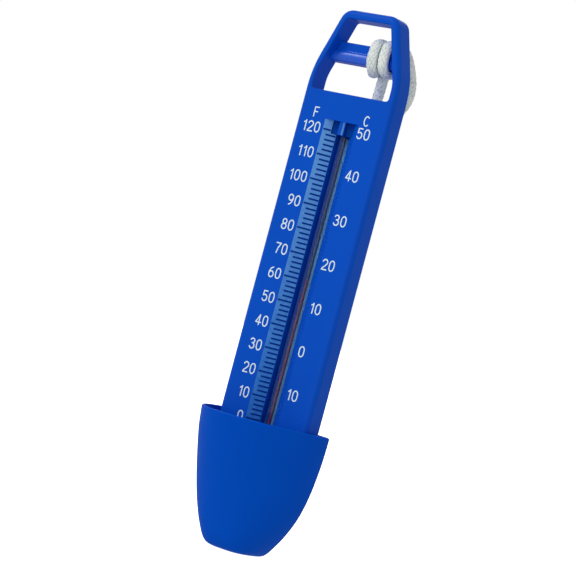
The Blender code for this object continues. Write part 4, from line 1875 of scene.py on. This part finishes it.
@dataclass
class BraidedLine:
    """A braided tube along a line: its frames, plaits and pieces."""

    line: list[Vector]
    radius: float = 2.0 * MM
    relief: float = 0.2 * MM
    plaits: int = 8
    plait_length: float = 2.1 * MM
    pressed: Callable[[int], float] | None = None
    pressed_round: tuple[float, float] = (6.6 * MM, 184.8 * MM)

    def __post_init__(self) -> None:
        """Carry one frame along the line."""
        ways = []
        for i in range(len(self.line)):
            before, after = self.line[max(i - 1, 0)], self.line[min(i + 1, len(self.line) - 1)]
            ways.append((after - before).normalized())
        across = ways[0].orthogonal().normalized()
        self.frames = []
        for i, way in enumerate(ways):
            across = (across - way * across.dot(way)).normalized()
            self.frames.append((across.copy(), way.cross(across)))
        self.spacing = (self.line[1] - self.line[0]).length

    def plait(self, angle: float, along: float) -> tuple[float, float]:
        """The braid at a point.

        Args:
            angle: The angle round the cord.
            along: The distance along it.

        Returns:
            Its height from 0 to 1, and where it lies across its plait.
        """
        climb = math.pi * along / self.plait_length
        left = angle * self.plaits / 2 + climb
        right = angle * self.plaits / 2 - climb
        over = math.cos(left) * math.cos(right)
        main, other = (left, right) if over > 0 else (right, left)
        height = abs(math.cos(main)) ** 0.55 * abs(math.cos(other)) ** 0.8
        return height, (main / math.pi) % 1.0

    def press(self, i: int, offset: Vector) -> Vector:
        """Flatten the cord against what it is wound round.

        Args:
            i: The point's number on the line.
            offset: Where the surface lies from the line.

        Returns:
            Where it lies after flattening.
        """
        amount = self.pressed(i)
        depth, height = self.pressed_round
        out = self.line[i] - Vector((self.line[i].x, body_y(depth), height))
        across, up = self.frames[i]
        way = across.cross(up)
        out = (out - way * out.dot(way)).normalized()
        part = out * offset.dot(out)
        return part * (1 - 0.27 * amount) + (offset - part) * (1 + 0.07 * amount)

    def tube(
        self,
        name: str,
        first: int,
        last: int,
        finish: Material,
        step: int = 1,
        around: int = 28,
    ) -> Piece:
        """Build the tube between two points of the line.

        Args:
            name: The object's name.
            first: The first point's number.
            last: The last point's number.
            finish: The material.
            step: How many points apart the rings are.
            around: Points in each ring.

        Returns:
            The object.
        """
        bm = bmesh.new()
        height_layer = bm.verts.layers.float.new("plait_height")
        across_layer = bm.verts.layers.float.new("plait_across")
        picks = [*range(first, last, step), last]
        rings = []
        for i in picks:
            across, up = self.frames[i]
            ring = []
            for k in range(around):
                angle = math.tau * k / around
                height, thread = self.plait(angle, i * self.spacing)
                sag = 0.04 * MM * noise.noise(self.line[i] * 180)
                reach = self.radius - self.relief * (0.72 - height) + sag
                offset = (across * math.cos(angle) + up * math.sin(angle)) * reach
                if self.pressed:
                    offset = self.press(i, offset)
                vert = bm.verts.new(self.line[i] + offset)
                vert[height_layer], vert[across_layer] = height, thread
                ring.append(vert)
            rings.append(ring)
        bridged(bm, rings)
        for ring, centre in ((rings[0], self.line[first]), (rings[-1], self.line[last])):
            hub = bm.verts.new(centre)
            hub[height_layer] = 0.4
            for k in range(around):
                bm.faces.new((ring[k], ring[(k + 1) % around], hub))
        obj = new_object(name, bm, finish)
        obj.data.shade_smooth()
        return obj


@dataclass
class TetherCord:
    """The cord: hitched to the bar by its middle, its two strands wound into a banded hank."""

    radius: float = 2.0 * MM
    spacing: float = 0.25 * MM
    hank_x: float = -4.2 * MM
    hank_z: float = 122 * MM
    straight: float = 24 * MM
    waist: float = 5.6 * MM
    bends: tuple[float, float] = (8.2 * MM, 12.4 * MM)
    layers: tuple[float, ...] = (12.3 * MM, 16.5 * MM, 20.7 * MM)
    knot_x: float = 4.0 * MM
    knot_depth: float = 18.2 * MM
    knot_z: float = 78.9 * MM
    band_corner: float = 3.2 * MM
    band_thick: float = 0.75 * MM
    band_wave: float = 0.25 * MM
    band_waves: float = 160.0
    seams: Route = ((5.4, 11.0, 181.5), (9.4, 16.4, 188.9))
    end_a: Route = ((3.4, 20.8, 91.0), (2.3, 20.4, 84.5), (2.2, 19.6, 81.5))
    end_b: Route = ((7.4, 20.8, 91.0), (6.1, 20.4, 84.5), (5.8, 19.6, 81.5))
    hitch: Route = (
        (5.4, 11.0, 180.0),
        (5.15, 10.8, 184.5),
        (4.6, 10.3, 188.3),
        (4.1, 8.2, 190.3),
        (3.95, 5.6, 190.4),
        (3.9, 3.6, 189.2),
        (4.05, 2.8, 187.0),
        (4.35, 2.1, 184.0),
        (4.7, 2.4, 181.2),
        (4.6, 4.2, 179.5),
        (3.2, 7.4, 179.1),
        (1.3, 10.5, 180.1),
        (0.55, 13.0, 182.2),
        (1.75, 15.1, 184.2),
        (5.0, 15.6, 184.8),
        (8.4, 15.6, 184.8),
        (11.1, 14.9, 184.2),
        (12.05, 12.8, 182.2),
        (11.4, 10.5, 180.6),
        (10.2, 7.4, 179.6),
        (9.9, 4.2, 179.5),
        (9.6, 2.4, 181.2),
        (9.2, 2.1, 184.0),
        (8.9, 2.8, 187.0),
        (8.7, 3.6, 189.2),
        (8.65, 5.6, 190.4),
        (8.8, 8.2, 190.6),
        (9.1, 10.4, 190.6),
        (9.4, 12.6, 190.4),
        (9.45, 14.6, 189.8),
    )
    leg_a: Route = ((5.4, 11.0, 176.6), (4.9, 11.4, 170.5), (4.2, 12.1, 164.5), (4.0, 12.3, 159.9))
    leg_b: Route = (
        (9.35, 16.4, 188.9),
        (9.2, 19.0, 187.1),
        (9.9, 20.0, 184.6),
        (11.2, 20.0, 181.7),
        (12.4, 19.6, 178.5),
        (13.1, 18.8, 175.2),
        (13.2, 17.6, 171.8),
        (12.6, 15.9, 168.5),
        (11.0, 14.1, 163.9),
        (8.8, 12.5, 158.2),
    )

    def build(self, finishes: Finishes) -> None:
        """Build the hitch, the strands, the knot and the band.

        Args:
            finishes: The finishes.
        """
        strand_a = self.points(self.leg_a) + self.hank(self.bends[0]) + self.points(self.end_a)
        strand_b = self.points(self.leg_b) + self.hank(self.bends[1]) + self.points(self.end_b)
        whole = [*reversed(strand_a), *self.points(self.hitch), *strand_b]
        line = smooth_line(whole, self.spacing)
        seam_a, seam_b = (self.nearest(line, spot) for spot in self.points(self.seams))
        last = len(line) - 1

        def pressed(i: int) -> float:
            """How far the cord is flattened at a point, from 0 at the seams to 1."""
            near_end = min(i - seam_a, seam_b - i) * self.spacing / (6 * MM)
            return max(0.0, min(1.0, near_end))

        braid = BraidedLine(line, self.radius, pressed=pressed)
        hitch = braid.tube("cord_hitch_wraps", seam_a, seam_b, finishes.cord, around=32)
        install(hitch, Slot.CORD, "cord_hitch")
        left = braid.tube("cord_strand_left", 0, seam_a, finishes.cord, 2, 24)
        install(left, Slot.CORD, "cord_leg_left", "cord_hank")
        right = braid.tube("cord_strand_right", seam_b, last, finishes.cord, 2, 24)
        install(right, Slot.CORD, "cord_leg_right")
        knot = self.knot(finishes)
        tails = [self.tail(finishes, index, lean) for index, lean in ((1, -1), (2, 1))]
        band = self.band(finishes)

    def points(self, route: Route) -> list[Vector]:
        """The points of a route of (x, depth, z) in millimetres."""
        return [Vector((x * MM, body_y(depth * MM), z * MM)) for x, depth, z in route]

    def nearest(self, line: list[Vector], spot: Vector) -> int:
        """The number of the line's point nearest a spot."""
        return min(range(len(line)), key=lambda i: (line[i] - spot).length)

    def hank(self, bend: float) -> list[Vector]:
        """The winding of one strand: down one side and up the other, a layer deeper each turn.

        Args:
            bend: The radius of its end loops.

        Returns:
            The points of its centreline.
        """
        points: list[Vector] = []

        def add(x: float, depth: float, z: float) -> None:
            """Add a point, counted from the hank's middle."""
            points.append(Vector((self.hank_x + x, body_y(depth), self.hank_z + z)))

        for turn, depth in enumerate(self.layers):
            for step in range(9):
                z = self.straight * (1 - step / 4)
                add(bend - self.drawn_in(z), depth, z)
            if turn == len(self.layers) - 1:
                break
            for step in range(1, 12):
                angle = -math.pi * step / 12
                add(bend * math.cos(angle), depth, -self.straight + bend * math.sin(angle))
            for step in range(9):
                z = self.straight * (step / 4 - 1)
                add(-bend + self.drawn_in(z), depth, z)
            for step in range(1, 12):
                part = step / 12
                angle = math.pi * (1 - part)
                deeper = depth + (self.layers[turn + 1] - depth) * part * part * (3 - 2 * part)
                add(bend * math.cos(angle), deeper, self.straight + bend * math.sin(angle))
        return points

    def drawn_in(self, z: float) -> float:
        """How far the band draws the runs in at a height above the hank's middle."""
        return self.waist * (0.5 + 0.5 * math.cos(math.pi * min(1.0, abs(z) / self.straight)))

    def knot(self, finishes: Finishes) -> Piece:
        """The overhand knot that joins the two strands.

        Args:
            finishes: The finishes.

        Returns:
            The piece.
        """
        centre = Vector((self.knot_x, body_y(self.knot_depth), self.knot_z))
        points = []
        for step in range(49):
            t = math.tau * step / 48
            ring = 2.0 * MM + 1.15 * MM * math.cos(3 * t)
            x, z = ring * math.cos(2 * t) * 1.12, ring * math.sin(2 * t)
            points.append(centre + Vector((x, 1.55 * MM * math.sin(3 * t), z)))
        line = smooth_line(points, self.spacing)
        braid = BraidedLine(line, 1.75 * MM, 0.14 * MM)
        knot = braid.tube("cord_joining_knot", 0, len(line) - 1, finishes.cord, 1, 24)
        return install(knot, Slot.CORD, "cord_end_knot")

    def tail(self, finishes: Finishes, index: int, lean: int) -> Piece:
        """One short tail below the knot, with its melted end.

        Args:
            finishes: The finishes.
            index: Its number.
            lean: Which side it leans to.

        Returns:
            The piece.
        """
        x, depth, z = self.knot_x / MM, self.knot_depth / MM, self.knot_z / MM
        route = (
            (x + lean * 1.4, depth, z - 2.2),
            (x + lean * 2.5, depth, z - 5.2),
            (x + lean * 3.7, depth - 0.2, z - 10.0),
            (x + lean * 4.8, depth - 0.1, z - 15.0),
        )
        line = smooth_line(self.points(route), self.spacing)
        braid = BraidedLine(line, 1.85 * MM, 0.15 * MM)
        tail = braid.tube(f"cord_tail_end_{index}", 0, len(line) - 1, finishes.cord, 1, 28)
        tail.data.materials.append(finishes.melted)
        last = len(line) - 1
        for face in tail.data.polygons:
            if (face.center - line[last]).length < 1.9 * MM:
                face.material_index = 1
        return install(tail, Slot.CORD, f"cord_tail_{index}")

    def band(self, finishes: Finishes) -> Piece:
        """The rubber band round the hank's waist.

        Args:
            finishes: The finishes.

        Returns:
            The piece.
        """
        low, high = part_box("hank_band")
        middle = (low + high) / 2
        half_x, half_y = (high.x - low.x) / 2, (high.y - low.y) / 2
        signs = ((1, -1), (1, 1), (-1, 1), (-1, -1))
        corners = [(u * half_x, v * half_y, self.band_corner) for u, v in signs]
        outline = rounded_outline(corners, 10)
        tall, thick = (high.z - low.z) / 2, self.band_thick
        section = []
        for step in range(16):
            angle = math.tau * step / 16
            across = abs(math.sin(angle)) ** 0.45 * math.copysign(1, math.sin(angle))
            section.append((thick / 2 * (1 - math.cos(angle)), tall * across))
        loops = []
        for inset, z in section:
            loop = []
            for p, n in outline:
                wave = self.band_wave * noise.noise(Vector((p.x, p.y, z)) * self.band_waves)
                flat = p - n * inset
                loop.append(middle + Vector((flat.x, flat.y, z + wave)))
            loops.append(loop)
        bm = bmesh.new()
        skin(bm, loops, endless=True)
        band = new_object("rubber_band", bm, finishes.band)
        smooth(band, math.radians(60), False)
        return install(band, Slot.BAND, "hank_band")


# ---------------------------------------------------------------- studio


@dataclass
class Studio:
    """The camera, the floor, the backdrop and the soft lights."""

    target: tuple[float, float, float] = (-3.77 * MM, 6.5 * MM, 96.25 * MM)
    distance: float = 745.65 * MM
    yaw: float = 34.06
    elevation: float = -0.64
    roll: float = 15.0
    lens: float = 129.2
    sensor: float = 36.0
    fill: float = 0.53

    def build(self) -> None:
        """Set up the studio."""
        scene = bpy.context.scene
        scene.view_settings.view_transform = "Standard"
        self.add_camera(scene)
        self.add_surroundings(scene)
        self.add_light("key", (-0.55, -0.8, 0.95), 0.5, 4.6)
        self.add_light("front", (0.12, -0.95, 0.2), 0.6, 1.5)
        self.add_light("back", (-0.6, 0.9, 0.6), 0.6, 2.0)

    def add_camera(self, scene: bpy.types.Scene) -> None:
        """Place the camera.

        Args:
            scene: The scene it belongs to.
        """
        yaw, rise, roll = (math.radians(a) for a in (self.yaw, self.elevation, self.roll))
        target = Vector(self.target)
        out = Vector((math.sin(yaw) * math.cos(rise), -math.cos(yaw) * math.cos(rise), math.sin(rise)))
        flat_right = (-out).cross(Vector((0, 0, 1))).normalized()
        flat_up = flat_right.cross(-out)
        right = math.cos(roll) * flat_right + math.sin(roll) * flat_up
        up = -math.sin(roll) * flat_right + math.cos(roll) * flat_up
        data = bpy.data.cameras.new("camera")
        data.lens, data.sensor_width = self.lens, self.sensor
        data.clip_start, data.clip_end = 0.01, 100
        camera = bpy.data.objects.new("camera", data)
        scene.collection.objects.link(camera)
        turn = Matrix((right, up, out)).transposed().to_4x4()
        camera.matrix_world = Matrix.Translation(target + out * self.distance) @ turn
        scene.camera = camera

    def add_surroundings(self, scene: bpy.types.Scene) -> None:
        """Add the white surroundings, which light the piece less than they show.

        Args:
            scene: The scene they belong to.
        """
        world = bpy.data.worlds.new("studio")
        world.use_nodes = True
        tree = world.node_tree
        background = tree.nodes["Background"]
        background.inputs["Color"].default_value = (1, 1, 1, 1)
        strength = tree.nodes.new("ShaderNodeMapRange")
        strength.inputs["To Min"].default_value = self.fill
        strength.inputs["To Max"].default_value = 1.0
        path = tree.nodes.new("ShaderNodeLightPath")
        tree.links.new(path.outputs["Is Camera Ray"], strength.inputs["Value"])
        tree.links.new(strength.outputs["Result"], background.inputs["Strength"])
        scene.world = world
        bm = bmesh.new()
        corners = ((-6, -6, 0), (6, -6, 0), (6, 6, 0), (-6, 6, 0))
        bm.faces.new([bm.verts.new(corner) for corner in corners])
        floor = new_object("studio_floor", bm, StudioWhite().build())
        floor.visible_diffuse = floor.visible_glossy = floor.visible_transmission = False

    def add_light(self, name: str, at: tuple[float, float, float], size: float, power: float) -> None:
        """Add a soft square light that faces the thermometer.

        Args:
            name: Its name.
            at: Its place.
            size: Its side.
            power: Its power.
        """
        data = bpy.data.lights.new(name, "AREA")
        data.size, data.energy = size, power
        light = bpy.data.objects.new(name, data)
        light.location = at
        aim = Vector((0, 0, 0.1)) - Vector(at)
        light.rotation_euler = aim.to_track_quat("-Z", "Y").to_euler()
        bpy.context.scene.collection.objects.link(light)


def main() -> None:
    """Build the studio and every piece, in order."""
    logging.basicConfig(level=logging.INFO, format="%(message)s")
    finishes = Finishes()
    Studio().build()
    TetherCord().build(finishes)
    shell = FrontShell()
    shell.build(finishes)
    cover = RearCover(shell)
    cover.build(finishes)
    Graduations(shell, Scale.FAHRENHEIT, -1).build(finishes)
    Graduations(shell, Scale.CELSIUS, 1).build(finishes)
    PrintedFigures().build(finishes)
    ScoopCup().build(finishes, cover)
    GlassTube().build(finishes)
    screw = CrossScrew()
    flush, cup_flush = BODY_DEPTH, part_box("scoop_cup")[1].y - FRONT_Y
    for side, label in ((-1, "left"), (1, "right")):
        for z, level in zip(shell.boss_zs, ("upper", "middle")):
            name = f"cover_screw_{label}_{level}"
            screw.build(finishes, f"cross_{name}", name, side * shell.boss_x, z, flush)
        name = f"cup_screw_{label}"
        screw.build(finishes, f"cross_{name}", name, side * shell.boss_x, shell.boss_zs[-1], cup_flush)
    InnerParts().build(finishes)
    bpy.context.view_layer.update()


if __name__ == "__main__":
    main()
